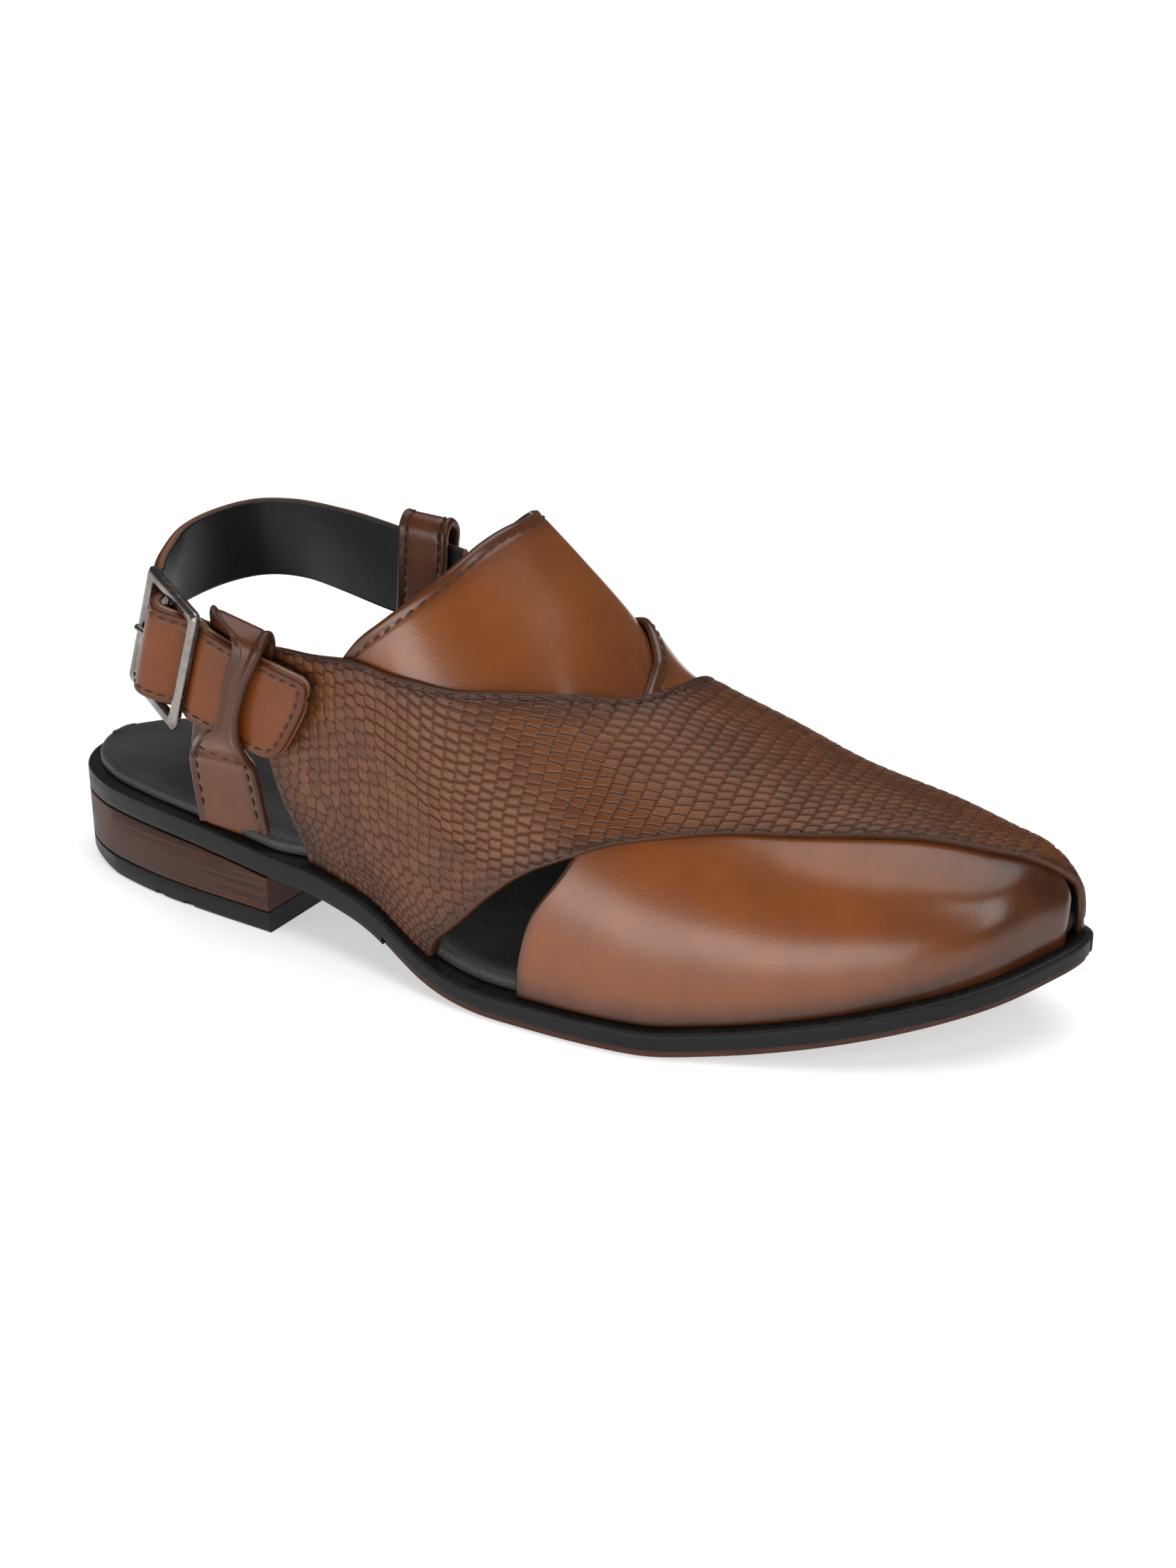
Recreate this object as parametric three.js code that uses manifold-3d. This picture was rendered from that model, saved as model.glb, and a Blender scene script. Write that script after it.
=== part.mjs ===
// Peshawari chappal, the right shoe: two crossed leather straps on a heeled sole, with an
// instep flap under them and a buckled strap round the heel.
// Millimetres. X runs from the heel to the toe, +Y is the inner (big toe) side, Z is up.
import * as THREE from 'three';
import { mergeVertices } from 'three/addons/utils/BufferGeometryUtils.js';
import Module from 'manifold-3d';

const wasm = await Module();
wasm.setup();

// Driving sizes
const SOLE_LENGTH = 300;
const BALL_WIDTH = 100;
const HEEL_HEIGHT = 16.6; // under the sole band, at the front face of the heel
const HEEL_LENGTH = 88.5;
const LIFT_THICKNESS = 6;
const LIFT_BEVEL_LENGTH = 26;
const LIFT_BEVEL_HEIGHT = 3.6;
const NICK_LENGTH = 5;
const NICK_DEPTH = 1;
const NICK_HEIGHT = 1.6;
const TOE_SPRING = 19;
const TOE_SPRING_START = 0.7; // share of the sole length
const TOE_SPRING_POWER = 1.6;
const BAND_THICKNESS = 7; // sole unit and outsole together
const OUTSOLE_THICKNESS = 1.8;
const OUTSOLE_INSET = 1.1;
const OUTSOLE_START = 131;
const FOOTBED_THICKNESS = 4.2;
const FOOTBED_LEDGE = 2.8; // bare rim beside the footbed at the heel
const FOOTBED_EDGE_ROUND = 2.6;
const UPPER_LEDGE = 3; // bare rim beside the straps
const INSTEP_HEIGHT = 110; // crown of the last over the sole, at the peak of the flap
const LEATHER = 2.2; // wall of one strap
const OVERLAY_RISE = 1.8; // how far the scaled strap stands over the smooth one
const OVERLAY_START = 14; // where it starts to rise, before the rearmost edge of the smooth strap
const OVERLAY_END = 3; // where it has risen, past that edge
const OVERLAY_TURN_START = 70; // degrees round the last; past the crown it has risen all along
const OVERLAY_TURN_END = 84;
const FLAP_THICKNESS = 2;
const STRAP_WIDTH = 26.5; // in the buckle and at the tip
const STRAP_HEEL_WIDTH = 24.6; // round the heel
const STRAP_THICKNESS = 3;
const STRAP_LEAN = 0.32; // how far its upper edge leans forward behind the heel, per unit of width
const HOLE_RADIUS = 1.5;
const POST_THICKNESS = 2.2;
const BUCKLE_LENGTH = 30;
const BUCKLE_HEIGHT = 35;
const BUCKLE_BAR = 3.6;
const BUCKLE_THICKNESS = 2.4;
const BUCKLE_CORNER = 2;
const BUCKLE_BEVEL = 0.5;
const CENTRE_BAR_RADIUS = 1.1;
const PRONG_RADIUS = 0.9;
const PRONG_SHORT = 2.4; // from the prong's tip to the far edge of the rear bar
const CARRIER_WIDTH = 24;
const CARRIER_THICKNESS = 1.2;
const CLEARANCE = 0.3;
const END_FLAT = 0.05; // how far short of the very ends the first and last sections stand
const SHOULDER_FLAT = 0.01; // half the run of the step in the sole unit's underside
const NORMAL_STEP = 0.5; // along the last, between the two points that give its slope
const NORMAL_TURN = 1; // round the last, in degrees

// Plan of the sole, from the middle of the heel's back to the toe.
// along: share of the sole length. outer, inner: shares of the ball width, from the long axis.
const OUTLINE = [
  { along: 0, outer: 0.015, inner: 0.015 },
  { along: 0.008, outer: -0.09, inner: 0.12 },
  { along: 0.03, outer: -0.18, inner: 0.205 },
  { along: 0.055, outer: -0.235, inner: 0.25 },
  { along: 0.086, outer: -0.28, inner: 0.28 },
  { along: 0.155, outer: -0.335, inner: 0.305 },
  { along: 0.22, outer: -0.362, inner: 0.31 },
  { along: 0.295, outer: -0.385, inner: 0.298 },
  { along: 0.355, outer: -0.404, inner: 0.275 },
  { along: 0.415, outer: -0.44, inner: 0.265 },
  { along: 0.475, outer: -0.49, inner: 0.292 },
  { along: 0.535, outer: -0.524, inner: 0.355 },
  { along: 0.595, outer: -0.534, inner: 0.42 },
  { along: 0.655, outer: -0.533, inner: 0.46 },
  { along: 0.7, outer: -0.517, inner: 0.475 },
  { along: 0.75, outer: -0.462, inner: 0.48 },
  { along: 0.8, outer: -0.405, inner: 0.466 },
  { along: 0.855, outer: -0.333, inner: 0.432 },
  { along: 0.91, outer: -0.238, inner: 0.376 },
  { along: 0.953, outer: -0.13, inner: 0.312 },
  { along: 0.985, outer: 0.015, inner: 0.24 },
  { along: 1, outer: 0.145, inner: 0.145 },
];

// Underside of the sole from the heel seat over the arch to the tread.
// along: share of the sole length. rise: share of the heel height.
const ARCH = [
  { along: 0, rise: 1.28 },
  { along: 0.16, rise: 1.25 },
  { along: 0.24, rise: 1.13 },
  { along: 0.3, rise: 1 },
  { along: 0.345, rise: 0.945 },
  { along: 0.37, rise: 0.875 },
  { along: 0.405, rise: 0.755 },
  { along: 0.43, rise: 0.61 },
  { along: 0.455, rise: 0.41 },
  { along: 0.48, rise: 0.215 },
  { along: 0.505, rise: 0.09 },
  { along: 0.535, rise: 0.02 },
  { along: 0.56, rise: 0 },
  { along: 0.7, rise: 0 },
];

// Cross sections of the last over the sole.
// along: share of the sole length. crown: height over the sole, share of the instep height.
// side: crown's place, share of the ball width. outer, inner: how full each side is.
const LAST = [
  { along: 0.27, crown: 1.235, side: 0.01, outer: 3.3, inner: 3.1 },
  { along: 0.33, crown: 1.205, side: 0.02, outer: 3.2, inner: 3 },
  { along: 0.38, crown: 1.16, side: 0.03, outer: 3, inner: 2.8 },
  { along: 0.43, crown: 1.1, side: 0.04, outer: 2.6, inner: 2.5 },
  { along: 0.495, crown: 1, side: 0.05, outer: 2.2, inner: 2.2 },
  { along: 0.535, crown: 0.915, side: 0.06, outer: 2.1, inner: 2.1 },
  { along: 0.575, crown: 0.81, side: 0.06, outer: 2.1, inner: 2.1 },
  { along: 0.62, crown: 0.66, side: 0.06, outer: 2.15, inner: 2.1 },
  { along: 0.66, crown: 0.6, side: 0.07, outer: 2.2, inner: 2.1 },
  { along: 0.715, crown: 0.535, side: 0.095, outer: 2.2, inner: 2.15 },
  { along: 0.785, crown: 0.432, side: 0.125, outer: 2.25, inner: 2.2 },
  { along: 0.865, crown: 0.335, side: 0.15, outer: 2.35, inner: 2.3 },
  { along: 0.915, crown: 0.262, side: 0.16, outer: 2.4, inner: 2.4 },
  { along: 0.953, crown: 0.205, side: 0.165, outer: 2.4, inner: 2.4 },
  { along: 0.98, crown: 0.115, side: 0.165, outer: 2.3, inner: 2.3 },
  { along: 0.99, crown: 0, side: 0.165, outer: 2.2, inner: 2.2 },
];

// Edges of the pieces on the last. rearX, frontX: shares of the sole length.
// rearTurn, frontTurn: degrees round the section, 0 at the outer side of the sole, 90 at the
// crown and 180 at the inner side of the sole.
const SMOOTH_STRAP = [
  { rearX: 0.577, rearTurn: 0, frontX: 0.9855, frontTurn: 0 },
  { rearX: 0.58, rearTurn: 6, frontX: 0.9855, frontTurn: 22 },
  { rearX: 0.59, rearTurn: 14, frontX: 0.985, frontTurn: 48 },
  { rearX: 0.615, rearTurn: 26, frontX: 0.983, frontTurn: 72 },
  { rearX: 0.63, rearTurn: 40, frontX: 0.975, frontTurn: 84 },
  { rearX: 0.635, rearTurn: 60, frontX: 0.955, frontTurn: 86 },
  { rearX: 0.62, rearTurn: 85, frontX: 0.92, frontTurn: 90 },
  { rearX: 0.593, rearTurn: 106, frontX: 0.885, frontTurn: 100 },
  { rearX: 0.55, rearTurn: 128, frontX: 0.855, frontTurn: 112 },
  { rearX: 0.5, rearTurn: 142, frontX: 0.83, frontTurn: 127 },
  { rearX: 0.433, rearTurn: 154, frontX: 0.81, frontTurn: 143 },
  { rearX: 0.37, rearTurn: 162, frontX: 0.79, frontTurn: 160 },
  { rearX: 0.373, rearTurn: 180, frontX: 0.775, frontTurn: 180 },
];
const SCALED_STRAP = [
  { rearX: 0.337, rearTurn: 0, frontX: 0.488, frontTurn: 0 },
  { rearX: 0.32, rearTurn: 1, frontX: 0.495, frontTurn: 2.2 },
  { rearX: 0.305, rearTurn: 2.4, frontX: 0.508, frontTurn: 4.6 },
  { rearX: 0.288, rearTurn: 6, frontX: 0.525, frontTurn: 8 },
  { rearX: 0.283, rearTurn: 11, frontX: 0.545, frontTurn: 12.5 },
  { rearX: 0.295, rearTurn: 14.2, frontX: 0.568, frontTurn: 17.5 },
  { rearX: 0.355, rearTurn: 17, frontX: 0.595, frontTurn: 23.5 },
  { rearX: 0.423, rearTurn: 25, frontX: 0.633, frontTurn: 32.5 },
  { rearX: 0.473, rearTurn: 34, frontX: 0.677, frontTurn: 40.5 },
  { rearX: 0.53, rearTurn: 44.5, frontX: 0.73, frontTurn: 49 },
  { rearX: 0.577, rearTurn: 55, frontX: 0.785, frontTurn: 57 },
  { rearX: 0.617, rearTurn: 71, frontX: 0.84, frontTurn: 65 },
  { rearX: 0.637, rearTurn: 84, frontX: 0.893, frontTurn: 72.5 },
  { rearX: 0.642, rearTurn: 97, frontX: 0.93, frontTurn: 76 },
  { rearX: 0.637, rearTurn: 117, frontX: 0.962, frontTurn: 79 },
  { rearX: 0.627, rearTurn: 138, frontX: 0.979, frontTurn: 92 },
  { rearX: 0.613, rearTurn: 160, frontX: 0.985, frontTurn: 130 },
  { rearX: 0.603, rearTurn: 180, frontX: 0.986, frontTurn: 180 },
];
const FLAP = [
  { rearX: 0.36, rearTurn: 14, frontX: 0.42, frontTurn: 15 },
  { rearX: 0.389, rearTurn: 22.5, frontX: 0.49, frontTurn: 24 },
  { rearX: 0.419, rearTurn: 31.5, frontX: 0.55, frontTurn: 34 },
  { rearX: 0.45, rearTurn: 43.5, frontX: 0.6, frontTurn: 47 },
  { rearX: 0.473, rearTurn: 55.5, frontX: 0.64, frontTurn: 60 },
  { rearX: 0.489, rearTurn: 69, frontX: 0.66, frontTurn: 73 },
  { rearX: 0.498, rearTurn: 82, frontX: 0.67, frontTurn: 84 },
  { rearX: 0.503, rearTurn: 90, frontX: 0.67, frontTurn: 92 },
  { rearX: 0.498, rearTurn: 98, frontX: 0.667, frontTurn: 100 },
  { rearX: 0.485, rearTurn: 110, frontX: 0.655, frontTurn: 111 },
  { rearX: 0.465, rearTurn: 123, frontX: 0.635, frontTurn: 124 },
  { rearX: 0.44, rearTurn: 135, frontX: 0.6, frontTurn: 135 },
  { rearX: 0.41, rearTurn: 147, frontX: 0.55, frontTurn: 146 },
  { rearX: 0.39, rearTurn: 156, frontX: 0.49, frontTurn: 156 },
  { rearX: 0.383, rearTurn: 164, frontX: 0.42, frontTurn: 164 },
];

// Side of the sole unit, from its underside to its rim. height: share of its thickness.
const BAND_SIDE = [
  { height: 0, inset: 0.5 },
  { height: 0.08, inset: 0 },
  { height: 0.86, inset: 0 },
  { height: 0.95, inset: 0.25 },
  { height: 1, inset: 0.9 },
];

// Place along the sole, as a share of its length, over which the heights of the heel strap, the
// posts and the buckle are measured, from the top of the sole band.
const SEAT_PLACE = 0.28;

// Middle line of the heel strap: round the heel up to the buckle, and from the buckle through
// the keeper to the tip. back: from the heel's back, share of the sole length. side: share of the
// ball width. height: over the seat, share of the instep height.
const STRAP_ROUND_HEEL = [
  { back: 0.373, side: 0.265, height: 0.543 },
  { back: 0.34, side: 0.272, height: 0.557 },
  { back: 0.3, side: 0.276, height: 0.574 },
  { back: 0.24, side: 0.28, height: 0.602 },
  { back: 0.187, side: 0.275, height: 0.617 },
  { back: 0.147, side: 0.235, height: 0.614 },
  { back: 0.118, side: 0.14, height: 0.593 },
  { back: 0.104, side: 0.03, height: 0.561 },
  { back: 0.11, side: -0.09, height: 0.529 },
  { back: 0.128, side: -0.195, height: 0.509 },
];
const STRAP_TAIL = [
  { back: 0.26, side: -0.409, height: 0.421 },
  { back: 0.3, side: -0.408, height: 0.392 },
  { back: 0.35, side: -0.408, height: 0.357 },
];
const BUCKLE_PLACE = { back: 0.1935, side: -0.375, height: 0.481, turn: -27.5, dip: -14, lean: -9 };

// Slanted, rounded end of the heel strap. back: from the tip, share of the strap width. upper,
// lower: its two edges over the middle line, shares of half the width.
const STRAP_TIP = [
  { back: 0.4, upper: 1, lower: -1 },
  { back: 0.3, upper: 1, lower: -0.95 },
  { back: 0.225, upper: 1, lower: -0.84 },
  { back: 0.165, upper: 1, lower: -0.66 },
  { back: 0.115, upper: 1, lower: -0.4 },
  { back: 0.07, upper: 0.97, lower: -0.12 },
  { back: 0.035, upper: 0.93, lower: 0.12 },
  { back: 0.012, upper: 0.86, lower: 0.32 },
  { back: 0.001, upper: 0.76, lower: 0.5 },
];

// Posts that hold the strap: a leaf from the footbed up to a fold, and a bridge down outside the
// strap that ends on the leaf again. side: share of the ball width. height: over the seat, share
// of the instep height. rear, front: share of the sole length. slope: rise of the rear edge over
// the front edge, share of the instep height.
const OUTER_LEAF = [
  { side: -0.329, height: 0.0154, rear: 0.21, front: 0.28, slope: 0.0236 },
  { side: -0.334, height: 0.089, rear: 0.208, front: 0.273, slope: 0 },
  { side: -0.349, height: 0.189, rear: 0.207, front: 0.265, slope: 0.005 },
  { side: -0.356, height: 0.279, rear: 0.213, front: 0.267, slope: 0.01 },
  { side: -0.36, height: 0.369, rear: 0.228, front: 0.277, slope: 0.02 },
  { side: -0.3635, height: 0.459, rear: 0.238, front: 0.296, slope: 0.03 },
  { side: -0.3665, height: 0.524, rear: 0.2495, front: 0.314, slope: 0.04 },
  { side: -0.379, height: 0.559, rear: 0.251, front: 0.318, slope: 0.045 },
];
const OUTER_BRIDGE = [
  { side: -0.372, height: 0.546, rear: 0.251, front: 0.318, slope: 0.045 },
  { side: -0.394, height: 0.57, rear: 0.254, front: 0.319, slope: 0.045 },
  { side: -0.415, height: 0.565, rear: 0.262, front: 0.319, slope: 0.045 },
  { side: -0.43, height: 0.549, rear: 0.28, front: 0.318, slope: 0.04 },
  { side: -0.44, height: 0.524, rear: 0.289, front: 0.314, slope: 0.035 },
  { side: -0.448, height: 0.459, rear: 0.281, front: 0.304, slope: 0.02 },
  { side: -0.45, height: 0.369, rear: 0.272, front: 0.2935, slope: 0.01 },
  { side: -0.443, height: 0.282, rear: 0.262, front: 0.291, slope: 0 },
  { side: -0.411, height: 0.238, rear: 0.245, front: 0.2905, slope: 0 },
  { side: -0.376, height: 0.216, rear: 0.237, front: 0.28, slope: 0 },
  { side: -0.355, height: 0.203, rear: 0.237, front: 0.264, slope: 0 },
];
const INNER_LEAF = [
  { side: 0.243, height: -0.0092, rear: 0.293, front: 0.36, slope: 0.0155 },
  { side: 0.239, height: 0.179, rear: 0.3, front: 0.355, slope: 0 },
  { side: 0.234, height: 0.379, rear: 0.305, front: 0.355, slope: 0 },
  { side: 0.232, height: 0.579, rear: 0.31, front: 0.362, slope: 0.01 },
  { side: 0.234, height: 0.674, rear: 0.313, front: 0.366, slope: 0.01 },
  { side: 0.248, height: 0.712, rear: 0.313, front: 0.366, slope: 0.01 },
];
const INNER_BRIDGE = [
  { side: 0.24, height: 0.699, rear: 0.313, front: 0.366, slope: 0.01 },
  { side: 0.268, height: 0.72, rear: 0.313, front: 0.366, slope: 0.01 },
  { side: 0.297, height: 0.702, rear: 0.314, front: 0.366, slope: 0.01 },
  { side: 0.308, height: 0.639, rear: 0.318, front: 0.362, slope: 0.01 },
  { side: 0.308, height: 0.519, rear: 0.32, front: 0.36, slope: 0 },
  { side: 0.3, height: 0.412, rear: 0.32, front: 0.357, slope: 0 },
  { side: 0.272, height: 0.382, rear: 0.318, front: 0.355, slope: 0 },
  { side: 0.234, height: 0.372, rear: 0.317, front: 0.353, slope: 0 },
];

// Carrier from the centre bar to behind the outer post. along, off: shares of half the buckle's
// length, off outward.
const CARRIER_TAIL = [
  { along: 0.125, off: -0.02 },
  { along: 0.25, off: -0.13 },
  { along: 0.37, off: -0.29 },
  { along: 0.5, off: -0.44 },
  { along: 0.65, off: -0.59 },
  { along: 0.76, off: -0.7 },
];

// Spare holes of the heel strap. back: distance behind the hole with the prong in it.
const SPARE_HOLES = [{ back: 10 }, { back: 20 }];

// Nicks at the lower outer edge of the heel lift. back: share of the sole length.
const NICKS = [{ back: 0.153 }, { back: 0.193 }];

const MATERIALS = {
  rubber: { color: 0x232323, roughness: 0.55, metalness: 0 },
  outsole: { color: 0x4a2a22, roughness: 0.6, metalness: 0 },
  stack: { color: 0x4a302a, roughness: 0.5, metalness: 0 },
  footbed: { color: 0x2b2927, roughness: 0.5, metalness: 0 },
  upper: { color: 0x7a4a2c, roughness: 0.4, metalness: 0 },
  tan: { color: 0x8f5426, roughness: 0.35, metalness: 0 },
  metal: { color: 0x8d8a86, roughness: 0.3, metalness: 1 },
};

// Value of one column of a table at a place, on a smooth curve through its rows.
function tableValue(rows, key, column, place) {
  const last = rows.length - 1;
  if (place <= rows[0][key]) return rows[0][column];
  if (place >= rows[last][key]) return rows[last][column];
  let i = 0;
  while (rows[i + 1][key] <= place) i += 1;
  const slope = (j) => {
    const a = rows[Math.max(j - 1, 0)];
    const b = rows[Math.min(j + 1, last)];
    return (b[column] - a[column]) / (b[key] - a[key]);
  };
  const span = rows[i + 1][key] - rows[i][key];
  const t = (place - rows[i][key]) / span;
  const t2 = t * t;
  const t3 = t2 * t;
  return (2 * t3 - 3 * t2 + 1) * rows[i][column]
    + (t3 - 2 * t2 + t) * span * slope(i)
    + (3 * t2 - 2 * t3) * rows[i + 1][column]
    + (t3 - t2) * span * slope(i + 1);
}

// Shares along the length are read as angles, so that both ends come out round.
const roundShare = (share) => Math.acos(1 - 2 * Math.min(Math.max(share, 0), 1));
const withAngle = (rows, end) => rows.map((row) => ({ ...row, angle: roundShare(row.along / end) }));
const OUTLINE_ROWS = withAngle(OUTLINE, 1);
const LAST_END = LAST[LAST.length - 1].along;
const LAST_ROWS = withAngle(LAST, LAST_END);

// Side of the sole at x, moved inwards by an inset. side is 'outer' or 'inner'.
function soleSide(x, side, inset = 0) {
  const half = SOLE_LENGTH / 2;
  const stretched = half + ((x - half) * half) / (half - inset);
  const y = tableValue(OUTLINE_ROWS, 'angle', side, roundShare(stretched / SOLE_LENGTH));
  return y * BALL_WIDTH + (side === 'outer' ? inset : -inset);
}

function bandBottom(x) {
  const share = x / SOLE_LENGTH;
  if (share <= TOE_SPRING_START) return HEEL_HEIGHT * tableValue(ARCH, 'along', 'rise', share);
  const past = (share - TOE_SPRING_START) / (1 - TOE_SPRING_START);
  return TOE_SPRING * past ** TOE_SPRING_POWER;
}

const bandTop = (x) => bandBottom(x) + BAND_THICKNESS;
const SEAT = bandTop(SEAT_PLACE * SOLE_LENGTH);
const heightOf = (row) => SEAT + row.height * INSTEP_HEIGHT;

// Point of the last at x, turned round its section by an angle in degrees.
function lastPoint(x, turn) {
  const angle = THREE.MathUtils.degToRad(Math.min(Math.max(turn, 0), 180));
  const side = turn < 90 ? 'outer' : 'inner';
  const share = roundShare(x / SOLE_LENGTH / LAST_END);
  const crown = INSTEP_HEIGHT * tableValue(LAST_ROWS, 'angle', 'crown', share);
  const middle = BALL_WIDTH * tableValue(LAST_ROWS, 'angle', 'side', share);
  const power = 2 / tableValue(LAST_ROWS, 'angle', side, share);
  const edge = soleSide(x, side, UPPER_LEDGE);
  return new THREE.Vector3(
    x,
    middle + (edge - middle) * Math.abs(Math.cos(angle)) ** power,
    bandTop(x) + CLEARANCE + crown * Math.sin(angle) ** power,
  );
}

// The same point moved off the last by a distance along its normal.
function lastOffset(x, turn, distance) {
  const end = SOLE_LENGTH * LAST_END - END_FLAT;
  const along = lastPoint(Math.min(x + NORMAL_STEP, end), turn).sub(lastPoint(x - NORMAL_STEP, turn));
  const round = lastPoint(x, turn + NORMAL_TURN).sub(lastPoint(x, turn - NORMAL_TURN));
  const normal = along.cross(round).normalize();
  if (turn < NORMAL_TURN || turn > 180 - NORMAL_TURN) normal.setZ(0).normalize();
  const point = lastPoint(x, turn).addScaledVector(normal, distance);
  point.z = Math.max(point.z, bandTop(point.x) + CLEARANCE);
  return point;
}

function geometryOf(points, faces) {
  const geometry = new THREE.BufferGeometry();
  geometry.setAttribute('position', new THREE.Float32BufferAttribute(points.flatMap((p) => p.toArray()), 3));
  geometry.setIndex(faces.flat());
  return geometry;
}

// Closed body through rings of as many points each. A ring runs up one side and down the other,
// so that its caps are ladders between the two sides.
function loft(rings) {
  const count = rings[0].length;
  const faces = [];
  const at = (ring, point) => ring * count + (point % count);
  for (let r = 0; r < rings.length - 1; r += 1) {
    for (let p = 0; p < count; p += 1) {
      faces.push([at(r, p), at(r, p + 1), at(r + 1, p + 1)], [at(r, p), at(r + 1, p + 1), at(r + 1, p)]);
    }
  }
  const end = rings.length - 1;
  for (let p = 0; p < count / 2 - 1; p += 1) {
    const q = count - 1 - p;
    faces.push([at(0, p), at(0, q), at(0, p + 1)], [at(0, p + 1), at(0, q), at(0, q - 1)]);
    faces.push([at(end, p), at(end, p + 1), at(end, q)], [at(end, p + 1), at(end, q - 1), at(end, q)]);
  }
  return geometryOf(rings.flat(), faces);
}

// Places along the length, close together at both round ends.
function stations(from, to, count) {
  const a = roundShare(from / SOLE_LENGTH);
  const b = roundShare(to / SOLE_LENGTH);
  return Array.from({ length: count + 1 }, (_, i) => (SOLE_LENGTH * (1 - Math.cos(a + ((b - a) * i) / count))) / 2);
}

// Layer of the sole between two heights, with a table for its side. The whole outline shrinks
// with an inset, so that a round end stays round.
function layer(places, bottom, top, side, ledge = () => 0) {
  const half = SOLE_LENGTH / 2;
  return loft(places.map((place) => {
    const low = bottom(place);
    const high = top(place);
    const point = (name, sign) => (row) => {
      const inset = row.inset + ledge(place);
      return new THREE.Vector3(
        half + ((place - half) * (half - inset)) / half,
        soleSide(place, name) + sign * inset,
        low + (high - low) * row.height,
      );
    };
    return [...side.map(point('inner', -1)), ...side.map(point('outer', 1)).reverse()];
  }));
}

// Shell between two edges on the last. under and over give its two faces' distances off the last.
function shell(rows, acrossCount, alongCount, under, over) {
  const table = rows.map((row, i) => ({ ...row, place: i / (rows.length - 1) }));
  const value = (column, place) => tableValue(table, 'place', column, place);
  const sheet = (distance) => {
    const grid = [];
    for (let i = 0; i <= acrossCount; i += 1) {
      const place = i / acrossCount;
      const line = [];
      for (let j = 0; j <= alongCount; j += 1) {
        const t = j / alongCount;
        const x = SOLE_LENGTH * THREE.MathUtils.lerp(value('rearX', place), value('frontX', place), t);
        const turn = THREE.MathUtils.lerp(value('rearTurn', place), value('frontTurn', place), t);
        line.push(lastOffset(x, turn, distance(x, turn)));
      }
      grid.push(line);
    }
    return grid;
  };
  const outside = sheet(over);
  const inside = sheet(under);
  return loft(outside.map((line, i) => [...line, ...inside[i].slice().reverse()]));
}

function manifoldOf(geometry) {
  const bare = new THREE.BufferGeometry();
  bare.setAttribute('position', geometry.getAttribute('position').clone());
  if (geometry.index) bare.setIndex(geometry.index.clone());
  const merged = mergeVertices(bare, 1e-4);
  const mesh = new wasm.Mesh({
    numProp: 3,
    vertProperties: new Float32Array(merged.getAttribute('position').array),
    triVerts: new Uint32Array(merged.index.array),
  });
  return new wasm.Manifold(mesh);
}

function geometryFrom(solid) {
  const mesh = solid.getMesh();
  const geometry = new THREE.BufferGeometry();
  geometry.setAttribute('position', new THREE.BufferAttribute(new Float32Array(mesh.vertProperties), 3));
  geometry.setIndex(new THREE.BufferAttribute(new Uint32Array(mesh.triVerts), 1));
  return geometry;
}

const group = new THREE.Group();

function addPiece(name, geometry, material, place = null) {
  const mesh = new THREE.Mesh(geometry, new THREE.MeshStandardMaterial(MATERIALS[material]));
  mesh.name = name;
  if (place) {
    mesh.applyMatrix4(place);
  }
  group.add(mesh);
  return mesh;
}

// Sole
const PLAIN_SIDE = [
  { height: 0, inset: 0 },
  { height: 1, inset: 0 },
];

function outsole() {
  return layer(
    stations(OUTSOLE_START, SOLE_LENGTH - END_FLAT, 34),
    bandBottom,
    (x) => bandBottom(x) + OUTSOLE_THICKNESS,
    PLAIN_SIDE,
    () => OUTSOLE_INSET,
  );
}

function soleUnit() {
  const shoulder = OUTSOLE_START - CLEARANCE;
  const underside = (x) => bandBottom(x) + (x > shoulder ? OUTSOLE_THICKNESS + CLEARANCE : 0);
  const places = [
    ...stations(END_FLAT, shoulder - SHOULDER_FLAT, 32),
    ...stations(shoulder + SHOULDER_FLAT, SOLE_LENGTH - END_FLAT, 36),
  ];
  return layer(places, underside, bandTop, BAND_SIDE);
}

function heelStack() {
  return layer(
    stations(END_FLAT, HEEL_LENGTH, 20),
    () => LIFT_THICKNESS + CLEARANCE,
    (x) => bandBottom(x) - CLEARANCE,
    PLAIN_SIDE,
  );
}

function heelLift() {
  const bevel = (x) => LIFT_BEVEL_HEIGHT * Math.max(0, 1 - x / LIFT_BEVEL_LENGTH);
  const places = [...stations(END_FLAT, LIFT_BEVEL_LENGTH, 12), ...stations(LIFT_BEVEL_LENGTH, HEEL_LENGTH, 8).slice(1)];
  let lift = manifoldOf(layer(places, bevel, () => LIFT_THICKNESS, PLAIN_SIDE));
  NICKS.forEach((row) => {
    const x = row.back * SOLE_LENGTH;
    const nick = new THREE.BoxGeometry(NICK_LENGTH, 2 * NICK_DEPTH, 2 * NICK_HEIGHT);
    nick.translate(x, soleSide(x, 'outer'), 0);
    lift = lift.subtract(manifoldOf(nick));
  });
  return geometryFrom(lift);
}

const FOOTBED_SIDE = [
  { height: 0, inset: 0 },
  { height: 0.45, inset: 0 },
  { height: 0.8, inset: FOOTBED_EDGE_ROUND * 0.35 },
  { height: 1, inset: FOOTBED_EDGE_ROUND },
];
const UPPER_START = SCALED_STRAP[0].rearX * SOLE_LENGTH;
const STRAP_LEDGE = UPPER_LEDGE + LEATHER + CLEARANCE;
const LEDGE_CHANGE = 14; // length over which the footbed narrows before the straps
const LEDGE_END = 1; // how far before the straps it has narrowed

function footbedLedge(x) {
  const narrow = THREE.MathUtils.smoothstep(x, UPPER_START - LEDGE_CHANGE, UPPER_START - LEDGE_END);
  return THREE.MathUtils.lerp(FOOTBED_LEDGE, STRAP_LEDGE, narrow);
}

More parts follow.
